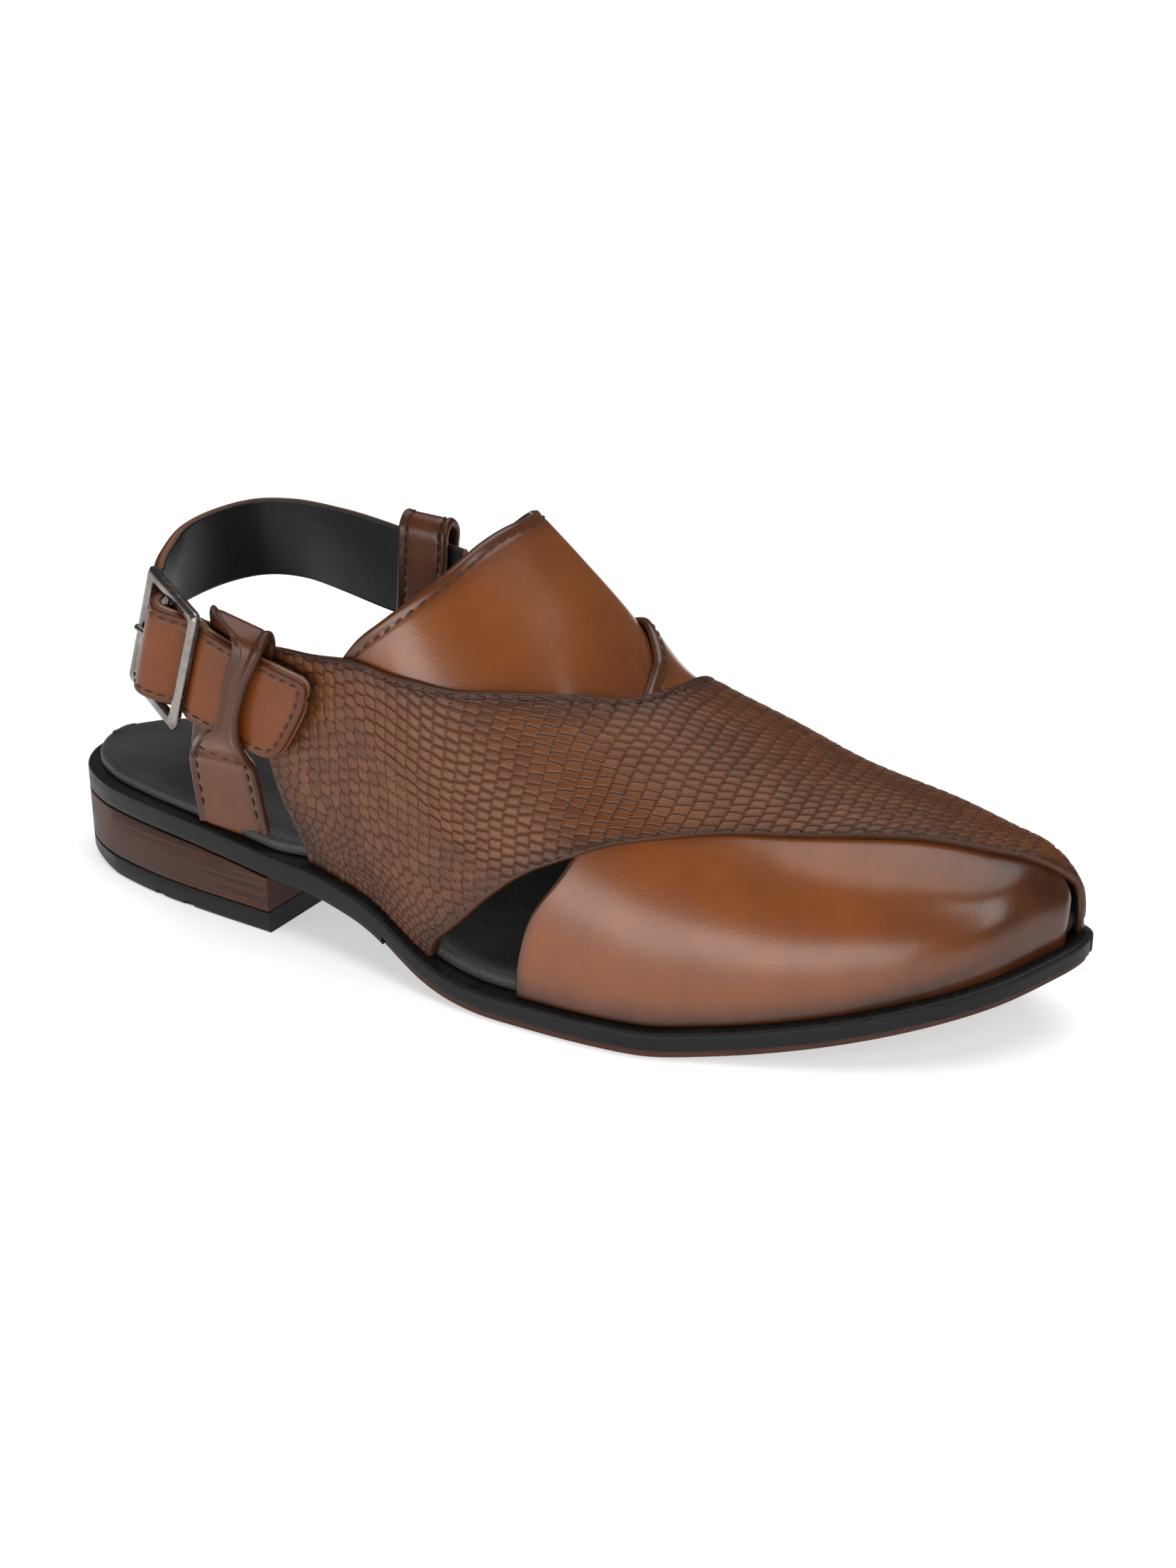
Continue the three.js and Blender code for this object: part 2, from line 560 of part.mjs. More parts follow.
addPiece('outsole', outsole(), 'outsole');
addPiece('sole', soleUnit(), 'rubber');
addPiece('heel_stack', heelStack(), 'stack');
addPiece('heel_lift', heelLift(), 'rubber');

// Upper: the scaled strap lies over the smooth one where they cross.
const SMOOTH_REAR = SMOOTH_STRAP.map((row) => row.rearX * SOLE_LENGTH);
const CROSSING_START = Math.max(...SMOOTH_REAR) - OVERLAY_START;
const CROSSING_END = Math.max(...SMOOTH_REAR) + OVERLAY_END;

function overlap(x, turn) {
  const crossed = THREE.MathUtils.smoothstep(x, CROSSING_START, CROSSING_END);
  const pastCrown = THREE.MathUtils.smoothstep(turn, OVERLAY_TURN_START, OVERLAY_TURN_END);
  return Math.max(crossed, pastCrown);
}

function upper() {
  const smooth = shell(SMOOTH_STRAP, 38, 16, () => -LEATHER, () => 0);
  const scaled = shell(
    SCALED_STRAP,
    45,
    12,
    (x, turn) => -LEATHER + (LEATHER - CLEARANCE) * overlap(x, turn),
    (x, turn) => OVERLAY_RISE * overlap(x, turn),
  );
  return geometryFrom(manifoldOf(smooth).add(manifoldOf(scaled)));
}

addPiece('upper', upper(), 'upper');

// Flap under both straps
const FLAP_TOP = -(LEATHER + 2 * CLEARANCE);
addPiece('instep_flap', shell(FLAP, 28, 8, () => FLAP_TOP - FLAP_THICKNESS, () => FLAP_TOP), 'tan');

// Band of leather through a table's rows. Each row is a straight cut across the band; the wall
// is laid half to either side of it. room widens the band all round.
function band(table, thickness, room = 0) {
  const rows = table.map((row) => ({
    middle: new THREE.Vector2(row.side * BALL_WIDTH, heightOf(row)),
    rear: row.rear * SOLE_LENGTH - room,
    front: row.front * SOLE_LENGTH + room,
    slope: row.slope * INSTEP_HEIGHT,
  }));
  rows[0].middle.y -= room;
  const last = rows.length - 1;
  return loft(rows.map((row, i) => {
    const along = rows[Math.min(i + 1, last)].middle.clone().sub(rows[Math.max(i - 1, 0)].middle).normalize();
    const off = new THREE.Vector2(-along.y, along.x).multiplyScalar(thickness / 2 + room);
    const point = (x, rise, sign) => new THREE.Vector3(
      x,
      row.middle.x + sign * off.x,
      row.middle.y + rise / 2 + sign * off.y,
    );
    return [
      point(row.rear, row.slope, -1),
      point(row.rear, row.slope, 1),
      point(row.front, -row.slope, 1),
      point(row.front, -row.slope, -1),
    ];
  }));
}

const joined = (...parts) => geometryFrom(parts.map(manifoldOf).reduce((all, part) => all.add(part)));

addPiece('lateral_post', joined(band(OUTER_LEAF, POST_THICKNESS), band(OUTER_BRIDGE, POST_THICKNESS)), 'tan');
addPiece('medial_post', joined(band(INNER_LEAF, POST_THICKNESS), band(INNER_BRIDGE, POST_THICKNESS)), 'tan');

// Footbed, with a slot for the foot of each post
function footbed() {
  const plain = layer(
    stations(END_FLAT, SOLE_LENGTH - END_FLAT, 52),
    (x) => bandTop(x) + CLEARANCE,
    (x) => bandTop(x) + CLEARANCE + FOOTBED_THICKNESS,
    FOOTBED_SIDE,
    footbedLedge,
  );
  const slots = [OUTER_LEAF, INNER_LEAF].map((rows) => manifoldOf(band(rows, POST_THICKNESS, CLEARANCE)));
  return geometryFrom(slots.reduce((bed, slot) => bed.subtract(slot), manifoldOf(plain)));
}

addPiece('insole', footbed(), 'footbed');

// Buckle, in its own frame: X forward along the strap, Y up across it, Z outward
const BUCKLE = new THREE.Matrix4().compose(
  new THREE.Vector3(
    BUCKLE_PLACE.back * SOLE_LENGTH,
    BUCKLE_PLACE.side * BALL_WIDTH,
    heightOf(BUCKLE_PLACE),
  ),
  new THREE.Quaternion()
    .setFromAxisAngle(new THREE.Vector3(0, 0, 1), THREE.MathUtils.degToRad(BUCKLE_PLACE.turn))
    .multiply(new THREE.Quaternion().setFromAxisAngle(
      new THREE.Vector3(1, 0, 0),
      THREE.MathUtils.degToRad(90),
    ))
    .multiply(new THREE.Quaternion().setFromAxisAngle(
      new THREE.Vector3(0, 0, 1),
      THREE.MathUtils.degToRad(BUCKLE_PLACE.dip),
    ))
    .multiply(new THREE.Quaternion().setFromAxisAngle(
      new THREE.Vector3(1, 0, 0),
      THREE.MathUtils.degToRad(BUCKLE_PLACE.lean),
    )),
  new THREE.Vector3(1, 1, 1),
);
const BUCKLE_CENTRE = new THREE.Vector3().setFromMatrixPosition(BUCKLE);
const BUCKLE_UP = new THREE.Vector3().setFromMatrixColumn(BUCKLE, 1);
const HALF_LENGTH = BUCKLE_LENGTH / 2;
const HALF_HEIGHT = BUCKLE_HEIGHT / 2;

function roundedRectangle(shape, halfX, halfY, radius) {
  shape.moveTo(-halfX + radius, -halfY);
  shape.lineTo(halfX - radius, -halfY);
  shape.quadraticCurveTo(halfX, -halfY, halfX, -halfY + radius);
  shape.lineTo(halfX, halfY - radius);
  shape.quadraticCurveTo(halfX, halfY, halfX - radius, halfY);
  shape.lineTo(-halfX + radius, halfY);
  shape.quadraticCurveTo(-halfX, halfY, -halfX, halfY - radius);
  shape.lineTo(-halfX, -halfY + radius);
  shape.quadraticCurveTo(-halfX, -halfY, -halfX + radius, -halfY);
  return shape;
}

function buckleFrame() {
  const shape = roundedRectangle(new THREE.Shape(), HALF_LENGTH, HALF_HEIGHT, BUCKLE_CORNER);
  shape.holes.push(roundedRectangle(
    new THREE.Path(),
    HALF_LENGTH - BUCKLE_BAR,
    HALF_HEIGHT - BUCKLE_BAR,
    BUCKLE_CORNER / 2,
  ));
  const frame = new THREE.ExtrudeGeometry(shape, {
    depth: BUCKLE_THICKNESS - 2 * BUCKLE_BEVEL,
    bevelEnabled: true,
    bevelSize: BUCKLE_BEVEL,
    bevelThickness: BUCKLE_BEVEL,
    bevelOffset: -BUCKLE_BEVEL,
    bevelSegments: 1,
    curveSegments: 4,
  });
  frame.translate(0, 0, -BUCKLE_THICKNESS / 2 + BUCKLE_BEVEL);
  const centreBar = new THREE.CylinderGeometry(CENTRE_BAR_RADIUS, CENTRE_BAR_RADIUS, BUCKLE_HEIGHT - BUCKLE_BAR, 16);
  return joined(frame, centreBar);
}

// Ring round the centre bar, open for the prong in its middle when a gap is given
function barRing(inner, outer, height) {
  const shape = new THREE.Shape().absarc(0, 0, outer, 0, 2 * Math.PI);
  shape.holes.push(new THREE.Path().absarc(0, 0, inner, 0, 2 * Math.PI));
  const ring = new THREE.ExtrudeGeometry(shape, { depth: height, bevelEnabled: false, curveSegments: 10 });
  ring.translate(0, 0, -height / 2);
  ring.rotateX(Math.PI / 2);
  return ring;
}

const RING_INNER = CENTRE_BAR_RADIUS + CLEARANCE;
const RING_OUTER = RING_INNER + CARRIER_THICKNESS;
const WINDOW_EDGE = HALF_LENGTH - BUCKLE_BAR;

// Rod of the prong, from its ring over the front edge of the rear bar to the rear bar's far edge
function prongRod(radius) {
  const start = new THREE.Vector3(-(RING_INNER + RING_OUTER) / 2, 0, 0);
  const edge = new THREE.Vector3(-WINDOW_EDGE, 0, BUCKLE_THICKNESS / 2 + PRONG_RADIUS + CLEARANCE);
  const tip = start.clone().lerp(edge, (HALF_LENGTH + start.x - PRONG_SHORT) / (WINDOW_EDGE + start.x));
  const reach = tip.clone().sub(start);
  const rod = new THREE.CylinderGeometry(radius, radius, reach.length(), 12);
  rod.applyQuaternion(new THREE.Quaternion().setFromUnitVectors(new THREE.Vector3(0, 1, 0), reach.normalize()));
  const middle = start.clone().add(tip).divideScalar(2);
  return rod.translate(middle.x, middle.y, middle.z);
}

function carrier() {
  const ring = manifoldOf(barRing(RING_INNER, RING_OUTER, CARRIER_WIDTH));
  const tail = loft(CARRIER_TAIL.map((row) => {
    const along = row.along * HALF_LENGTH;
    const off = row.off * HALF_LENGTH;
    return [
      new THREE.Vector3(along, CARRIER_WIDTH / 2, off - CARRIER_THICKNESS / 2),
      new THREE.Vector3(along, CARRIER_WIDTH / 2, off + CARRIER_THICKNESS / 2),
      new THREE.Vector3(along, -CARRIER_WIDTH / 2, off + CARRIER_THICKNESS / 2),
      new THREE.Vector3(along, -CARRIER_WIDTH / 2, off - CARRIER_THICKNESS / 2),
    ];
  }));
  const gap = new THREE.BoxGeometry(4 * RING_OUTER, 2 * PRONG_RADIUS + 2 * CLEARANCE, 4 * RING_OUTER);
  gap.translate(-RING_OUTER, 0, 0);
  return geometryFrom(ring.add(manifoldOf(tail)).subtract(manifoldOf(gap)));
}

addPiece('buckle_frame', buckleFrame(), 'metal', BUCKLE);
addPiece('buckle_prong', joined(barRing(RING_INNER, RING_OUTER, 2 * PRONG_RADIUS), prongRod(PRONG_RADIUS)), 'metal', BUCKLE);
addPiece('buckle_carrier', carrier(), 'tan', BUCKLE);

// Heel strap, woven through the buckle
const UNDER_BAR = -(BUCKLE_THICKNESS / 2 + 2 * CLEARANCE + STRAP_THICKNESS / 2);
const OVER_BAR = RING_OUTER + CLEARANCE + STRAP_THICKNESS / 2;
const STRAP_WEAVE = [
  { along: -HALF_LENGTH, off: UNDER_BAR },
  { along: -WINDOW_EDGE * 0.9, off: UNDER_BAR },
  { along: -WINDOW_EDGE * 0.45, off: OVER_BAR * 0.3 },
  { along: -WINDOW_EDGE * 0.18, off: OVER_BAR * 0.9 },
  { along: WINDOW_EDGE * 0.05, off: OVER_BAR * 1.02 },
  { along: WINDOW_EDGE * 0.28, off: OVER_BAR * 0.75 },
  { along: WINDOW_EDGE * 0.52, off: OVER_BAR * 0.1 },
  { along: WINDOW_EDGE * 0.85, off: UNDER_BAR * 1.03 },
  { along: HALF_LENGTH, off: UNDER_BAR * 1.05 },
];

const strapPoint = (row) => new THREE.Vector3(
  row.back * SOLE_LENGTH,
  row.side * BALL_WIDTH,
  heightOf(row),
);
const strapCurve = new THREE.CatmullRomCurve3([
  ...STRAP_ROUND_HEEL.map(strapPoint),
  ...STRAP_WEAVE.map((row) => new THREE.Vector3(row.along, 0, row.off).applyMatrix4(BUCKLE)),
  ...STRAP_TAIL.map(strapPoint),
], false, 'centripetal');

const STRAP_PLACES = 400; // tried along the strap

// The strap lies square in the buckle and turns upright past it. Shares of the buckle's length.
const TWIST_START = 0.66;
const TWIST_END = 0.95;
// It leans behind the heel and stands up beside the foot. Shares of the sole length.
const LEAN_START = 0.14;
const LEAN_END = 0.3;

// Share of the strap's length at which it passes the prong's middle
const IN_BUCKLE = new THREE.Vector3(-WINDOW_EDGE / 2, 0, 0).applyMatrix4(BUCKLE);
const STRAP_IN_BUCKLE = Array.from({ length: STRAP_PLACES }, (_, i) => i / STRAP_PLACES).reduce(
  (best, share) => {
    const gap = strapCurve.getPointAt(share).distanceTo(IN_BUCKLE);
    return gap < best.gap ? { gap, share } : best;
  },
  { gap: Infinity, share: 0 },
).share;

// Middle, directions and width of the strap at a share of its length. The directions run along
// it, across it and through its thickness.
function strapFrame(share) {
  const along = strapCurve.getTangentAt(share);
  const middle = strapCurve.getPointAt(share);
  const away = middle.distanceTo(BUCKLE_CENTRE) / BUCKLE_LENGTH;
  const gone = THREE.MathUtils.smoothstep(away, TWIST_START, TWIST_END);
  const across = BUCKLE_UP.clone().lerp(new THREE.Vector3(0, 0, 1), gone);
  across.addScaledVector(along, -across.dot(along)).normalize();
  const round = 1 - THREE.MathUtils.smoothstep(middle.x / SOLE_LENGTH, LEAN_START, LEAN_END);
  across.addScaledVector(along.clone().cross(across), -STRAP_LEAN * gone * round).normalize();
  const width = share < STRAP_IN_BUCKLE ? THREE.MathUtils.lerp(STRAP_WIDTH, STRAP_HEEL_WIDTH, gone) : STRAP_WIDTH;
  return { middle, across, through: along.clone().cross(across), along, width };
}

const STRAP_SECTIONS = 64;

function heelStrap() {
  const length = strapCurve.getLength();
  const tipStart = 1 - (STRAP_TIP[0].back * STRAP_WIDTH) / length;
  const rings = [
    ...Array.from({ length: STRAP_SECTIONS }, (_, i) => ({ share: (i / STRAP_SECTIONS) * tipStart, upper: 1, lower: -1 })),
    ...STRAP_TIP.map((row) => ({ share: 1 - (row.back * STRAP_WIDTH) / length, ...row })),
  ];
  const strap = loft(rings.map(({ share, upper, lower }) => {
    const { middle, across, through, width } = strapFrame(share);
    const point = (up, out) => middle.clone()
      .addScaledVector(across, (up * width) / 2)
      .addScaledVector(through, (out * STRAP_THICKNESS) / 2);
    return [point(upper, -1), point(upper, 1), point(lower, 1), point(lower, -1)];
  }));
  const prongHole = prongRod(PRONG_RADIUS + CLEARANCE).applyMatrix4(BUCKLE);
  let solid = manifoldOf(strap).subtract(manifoldOf(prongHole));
  SPARE_HOLES.forEach((row) => {
    const { middle, across, through, along } = strapFrame(STRAP_IN_BUCKLE - row.back / length);
    const hole = new THREE.CylinderGeometry(HOLE_RADIUS, HOLE_RADIUS, 3 * STRAP_THICKNESS, 14);
    hole.applyMatrix4(new THREE.Matrix4().makeBasis(along, through, across.negate()).setPosition(middle));
    solid = solid.subtract(manifoldOf(hole));
  });
  return geometryFrom(solid);
}

addPiece('heel_strap', heelStrap(), 'tan');

// The part stands on the floor with its middle over the origin.
const bounds = new THREE.Box3().setFromObject(group);
const base = bounds.getCenter(new THREE.Vector3()).setZ(bounds.min.z);
group.children.forEach((mesh) => mesh.position.sub(base));

export default group;
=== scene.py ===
# Peshawari chappal, the right shoe: the fine pieces, finishes, light and camera.
from math import cos, pi, radians, sin

import bpy
import numpy as np
from mathutils import Matrix, Vector
from mathutils.kdtree import KDTree


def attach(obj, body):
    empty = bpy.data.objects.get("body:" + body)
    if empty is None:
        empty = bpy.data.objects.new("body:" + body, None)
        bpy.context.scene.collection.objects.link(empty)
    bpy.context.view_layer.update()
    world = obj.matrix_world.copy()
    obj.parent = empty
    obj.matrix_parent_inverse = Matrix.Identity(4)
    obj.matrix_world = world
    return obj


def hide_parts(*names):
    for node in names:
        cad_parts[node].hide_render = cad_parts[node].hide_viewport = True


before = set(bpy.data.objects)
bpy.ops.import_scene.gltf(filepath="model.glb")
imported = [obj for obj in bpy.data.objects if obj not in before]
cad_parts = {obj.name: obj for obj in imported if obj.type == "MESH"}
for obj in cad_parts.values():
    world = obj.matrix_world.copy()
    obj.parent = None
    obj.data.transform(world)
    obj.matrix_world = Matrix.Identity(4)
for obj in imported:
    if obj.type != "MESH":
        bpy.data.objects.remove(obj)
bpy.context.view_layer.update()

MM = 0.001
SHIFT = np.array([-150.0, 2.759, 0.042])  # from the heel's back on the long axis to the row frame

# Sizes of the part's source, in millimetres
SOLE_LENGTH = 300.0
BALL_WIDTH = 100.0
HEEL_HEIGHT = 16.6
HEEL_LENGTH = 88.5
LIFT_THICKNESS = 6.0
LIFT_BEVEL_LENGTH = 26.0
LIFT_BEVEL_HEIGHT = 3.6
TOE_SPRING = 19.0
TOE_SPRING_START = 0.7
TOE_SPRING_POWER = 1.6
BAND_THICKNESS = 7.0
OUTSOLE_THICKNESS = 1.8
OUTSOLE_INSET = 1.1
OUTSOLE_START = 131.0
FOOTBED_THICKNESS = 4.2
FOOTBED_LEDGE = 2.8
UPPER_LEDGE = 3.0
INSTEP_HEIGHT = 110.0
LEATHER = 2.2
OVERLAY_RISE = 1.8
FLAP_THICKNESS = 2.0
STRAP_WIDTH = 26.5
STRAP_HEEL_WIDTH = 24.6
STRAP_THICKNESS = 3.0
STRAP_LEAN = 0.32
BUCKLE_LENGTH = 30.0
BUCKLE_HEIGHT = 35.0
BUCKLE_BAR = 3.6
BUCKLE_THICKNESS = 2.4
CENTRE_BAR_RADIUS = 1.1
PRONG_RADIUS = 0.9
CARRIER_WIDTH = 24.0
CARRIER_THICKNESS = 1.2
CLEARANCE = 0.3
STITCH_PITCH = 3.8
STITCH_IN = 2.3  # from an edge of the heel strap to its stitches
HOLE_RADIUS = 1.5
SPARE_HOLES = (10, 20)  # behind the hole with the prong in it
TWIST_START, TWIST_END = 0.66, 0.95  # shares of the buckle's length from its middle
LEAN_START, LEAN_END = 0.14, 0.3  # shares of the sole length

# Plan of the sole: share of the length, outer side, inner side (shares of the ball width)
OUTLINE = np.array([
    (0, 0.015, 0.015), (0.008, -0.09, 0.12), (0.03, -0.18, 0.205), (0.055, -0.235, 0.25),
    (0.086, -0.28, 0.28), (0.155, -0.335, 0.305), (0.22, -0.362, 0.31), (0.295, -0.385, 0.298),
    (0.355, -0.404, 0.275), (0.415, -0.44, 0.265), (0.475, -0.49, 0.292), (0.535, -0.524, 0.355),
    (0.595, -0.534, 0.42), (0.655, -0.533, 0.46), (0.7, -0.517, 0.475), (0.75, -0.462, 0.48),
    (0.8, -0.405, 0.466), (0.855, -0.333, 0.432), (0.91, -0.238, 0.376), (0.953, -0.13, 0.312),
    (0.985, 0.015, 0.24), (1, 0.145, 0.145),
])
# Underside of the sole: share of the length, share of the heel height
ARCH = np.array([
    (0, 1.28), (0.16, 1.25), (0.24, 1.13), (0.3, 1), (0.345, 0.945), (0.37, 0.875), (0.405, 0.755),
    (0.43, 0.61), (0.455, 0.41), (0.48, 0.215), (0.505, 0.09), (0.535, 0.02), (0.56, 0), (0.7, 0),
])
# Last: share of the length, crown, crown's side, fullness of the outer and of the inner side
LAST = np.array([
    (0.27, 1.235, 0.01, 3.3, 3.1), (0.33, 1.205, 0.02, 3.2, 3), (0.38, 1.16, 0.03, 3, 2.8),
    (0.43, 1.1, 0.04, 2.6, 2.5), (0.495, 1, 0.05, 2.2, 2.2), (0.535, 0.915, 0.06, 2.1, 2.1),
    (0.575, 0.81, 0.06, 2.1, 2.1), (0.62, 0.66, 0.06, 2.15, 2.1), (0.66, 0.6, 0.07, 2.2, 2.1),
    (0.715, 0.535, 0.095, 2.2, 2.15), (0.785, 0.432, 0.125, 2.25, 2.2),
    (0.865, 0.335, 0.15, 2.35, 2.3), (0.915, 0.262, 0.16, 2.4, 2.4), (0.953, 0.205, 0.165, 2.4, 2.4),
    (0.98, 0.115, 0.165, 2.3, 2.3), (0.99, 0, 0.165, 2.2, 2.2),
])
# Edges of the straps on the last: rear x, rear turn, front x, front turn
SMOOTH_STRAP = np.array([
    (0.577, 0, 0.9855, 0), (0.58, 6, 0.9855, 22), (0.59, 14, 0.985, 48), (0.615, 26, 0.983, 72),
    (0.63, 40, 0.975, 84), (0.635, 60, 0.955, 86), (0.62, 85, 0.92, 90), (0.593, 106, 0.885, 100),
    (0.55, 128, 0.855, 112), (0.5, 142, 0.83, 127), (0.433, 154, 0.81, 143), (0.37, 162, 0.79, 160),
    (0.373, 180, 0.775, 180),
])
SCALED_STRAP = np.array([
    (0.337, 0, 0.488, 0), (0.32, 1, 0.495, 2.2), (0.305, 2.4, 0.508, 4.6), (0.288, 6, 0.525, 8),
    (0.283, 11, 0.545, 12.5), (0.295, 14.2, 0.568, 17.5), (0.355, 17, 0.595, 23.5),
    (0.423, 25, 0.633, 32.5), (0.473, 34, 0.677, 40.5), (0.53, 44.5, 0.73, 49),
    (0.577, 55, 0.785, 57), (0.617, 71, 0.84, 65), (0.637, 84, 0.893, 72.5), (0.642, 97, 0.93, 76),
    (0.637, 117, 0.962, 79), (0.627, 138, 0.979, 92), (0.613, 160, 0.985, 130),
    (0.603, 180, 0.986, 180),
])
FLAP = np.array([
    (0.36, 14, 0.42, 15), (0.389, 22.5, 0.49, 24), (0.419, 31.5, 0.55, 34), (0.45, 43.5, 0.6, 47),
    (0.473, 55.5, 0.64, 60), (0.489, 69, 0.66, 73), (0.499, 82, 0.67, 84), (0.5005, 90, 0.67, 92),
    (0.497, 98, 0.667, 100), (0.485, 110, 0.655, 111), (0.465, 123, 0.635, 124),
    (0.44, 135, 0.6, 135), (0.41, 147, 0.55, 146), (0.39, 156, 0.49, 156), (0.383, 164, 0.42, 164),
])
# Heel strap's middle line: back (of the length), side (of the ball width), height over the seat
# (of the instep)
STRAP_ROUND_HEEL = np.array([
    (0.373, 0.265, 0.543), (0.34, 0.272, 0.557), (0.3, 0.276, 0.574), (0.24, 0.28, 0.602),
    (0.187, 0.275, 0.617), (0.147, 0.235, 0.614), (0.118, 0.14, 0.593), (0.104, 0.03, 0.561),
    (0.11, -0.09, 0.529), (0.128, -0.195, 0.509),
])
STRAP_TAIL = np.array([(0.26, -0.409, 0.421), (0.3, -0.408, 0.392), (0.35, -0.408, 0.357)])
BUCKLE_PLACE = np.array([0.1935, -0.375, 0.481])
BUCKLE_TURN, BUCKLE_DIP, BUCKLE_LEAN = -27.5, -14, -9
# Posts: side (of the ball width), height over the seat (of the instep), rear and front (of the
# length), slope
OUTER_POST = np.array([
    (-0.335, 0.0154, 0.21, 0.291, 0.0236), (-0.338, 0.089, 0.208, 0.286, 0),
    (-0.35, 0.169, 0.208, 0.284, 0), (-0.366, 0.214, 0.212, 0.285, 0), (-0.405, 0.249, 0.226, 0.289, 0),
    (-0.432, 0.279, 0.237, 0.2912, 0), (-0.446, 0.303, 0.248, 0.2914, 0),
    (-0.45, 0.329, 0.2645, 0.2914, 0.003), (-0.451, 0.379, 0.2725, 0.294, 0.012),
    (-0.449, 0.459, 0.281, 0.304, 0.02), (-0.441, 0.519, 0.289, 0.3135, 0.033),
    (-0.431, 0.552, 0.284, 0.3175, 0.04), (-0.413, 0.574, 0.264, 0.3185, 0.045),
    (-0.391, 0.585, 0.254, 0.319, 0.045), (-0.373, 0.57, 0.2485, 0.317, 0.045),
    (-0.3665, 0.519, 0.247, 0.312, 0.04), (-0.3635, 0.459, 0.24, 0.296, 0.03),
    (-0.36, 0.369, 0.23, 0.277, 0.02), (-0.352, 0.279, 0.215, 0.267, 0.01),
    (-0.337, 0.189, 0.207, 0.265, 0.005), (-0.318, 0.089, 0.208, 0.273, 0),
    (-0.313, 0.0154, 0.21, 0.28, 0.0236),
])
INNER_POST = np.array([
    (0.256, -0.0092, 0.293, 0.36, 0.0155), (0.254, 0.179, 0.3, 0.355, 0),
    (0.256, 0.324, 0.314, 0.354, 0), (0.27, 0.372, 0.318, 0.355, 0), (0.297, 0.411, 0.32, 0.357, 0),
    (0.307, 0.519, 0.32, 0.36, 0), (0.308, 0.639, 0.318, 0.362, 0.01),
    (0.297, 0.702, 0.314, 0.366, 0.01), (0.268, 0.722, 0.313, 0.366, 0.01),
    (0.242, 0.702, 0.313, 0.366, 0.01), (0.234, 0.639, 0.312, 0.366, 0.01),
    (0.232, 0.539, 0.31, 0.362, 0.01), (0.234, 0.379, 0.305, 0.355, 0), (0.237, 0.179, 0.3, 0.355, 0),
    (0.233, -0.0092, 0.293, 0.36, 0.0155),
])
# Slanted end of the heel strap: back from the tip (of the width), upper and lower edge (of half
# the width)
STRAP_TIP = np.array([
    (0, 0.7, 0.56), (0.004, 0.8, 0.42), (0.012, 0.86, 0.32), (0.035, 0.93, 0.12), (0.07, 0.97, -0.12),
    (0.115, 1, -0.4), (0.165, 1, -0.66), (0.225, 1, -0.84), (0.3, 1, -0.95), (0.4, 1, -1),
])
CARRIER_TAIL = np.array([
    (0.125, -0.02), (0.25, -0.13), (0.37, -0.29), (0.5, -0.44), (0.65, -0.59), (0.76, -0.7),
])

rng = np.random.default_rng(7)


# Shape of the last and the sole, as the part's source draws them
def through(places, values, at):
    """Smooth curve through a table's rows."""
    at = np.clip(at, places[0], places[-1])
    row = np.clip(np.searchsorted(places, at, side="right") - 1, 0, len(places) - 2)
    steps = np.arange(len(places))
    before = np.maximum(steps - 1, 0)
    after = np.minimum(steps + 1, len(places) - 1)
    slope = (values[after] - values[before]) / (places[after] - places[before])
    span = places[row + 1] - places[row]
    t = (at - places[row]) / span
    start = (2 * t**3 - 3 * t**2 + 1) * values[row] + (t**3 - 2 * t**2 + t) * span * slope[row]
    end = (3 * t**2 - 2 * t**3) * values[row + 1] + (t**3 - t**2) * span * slope[row + 1]
    return start + end


def round_share(share):
    return np.arccos(1 - 2 * np.clip(share, 0, 1))


OUTLINE_ANGLE = round_share(OUTLINE[:, 0])
LAST_END = LAST[-1, 0]
LAST_ANGLE = round_share(LAST[:, 0] / LAST_END)


def sole_side(x, side, inset=0.0):
    """Side of the sole at x; side is 1 for the outer and 2 for the inner one."""
    half = SOLE_LENGTH / 2
    stretched = half + (x - half) * half / (half - inset)
    y = through(OUTLINE_ANGLE, OUTLINE[:, side], round_share(stretched / SOLE_LENGTH))
    return y * BALL_WIDTH + (inset if side == 1 else -inset)


def band_bottom(x):
    share = np.asarray(x, float) / SOLE_LENGTH
    arch = HEEL_HEIGHT * through(ARCH[:, 0], ARCH[:, 1], share)
    past = np.clip((share - TOE_SPRING_START) / (1 - TOE_SPRING_START), 0, None)
    return np.where(share <= TOE_SPRING_START, arch, TOE_SPRING * past**TOE_SPRING_POWER)


def band_top(x):
    return band_bottom(x) + BAND_THICKNESS


SEAT = band_top(0.28 * SOLE_LENGTH)  # the heights of the straps and posts are measured from it


def over_seat(rows):
    """Places of rows of back, side and height in millimetres."""
    return rows * np.array([SOLE_LENGTH, BALL_WIDTH, INSTEP_HEIGHT]) + np.array([0, 0, SEAT])


BUCKLE_CENTRE = over_seat(BUCKLE_PLACE)


def last_point(x, turn):
    angle = np.radians(np.clip(turn, 0, 180))
    share = round_share(x / SOLE_LENGTH / LAST_END)
    crown = INSTEP_HEIGHT * through(LAST_ANGLE, LAST[:, 1], share)
    middle = BALL_WIDTH * through(LAST_ANGLE, LAST[:, 2], share)
    outer = np.asarray(turn) < 90
    full = np.where(
        outer,
        through(LAST_ANGLE, LAST[:, 3], share),
        through(LAST_ANGLE, LAST[:, 4], share),
    )
    edge = np.where(outer, sole_side(x, 1, UPPER_LEDGE), sole_side(x, 2, UPPER_LEDGE))
    y = middle + (edge - middle) * np.abs(np.cos(angle)) ** (2 / full)
    z = band_top(x) + CLEARANCE + crown * np.abs(np.sin(angle)) ** (2 / full)
    return np.stack(np.broadcast_arrays(x, y, z), -1)


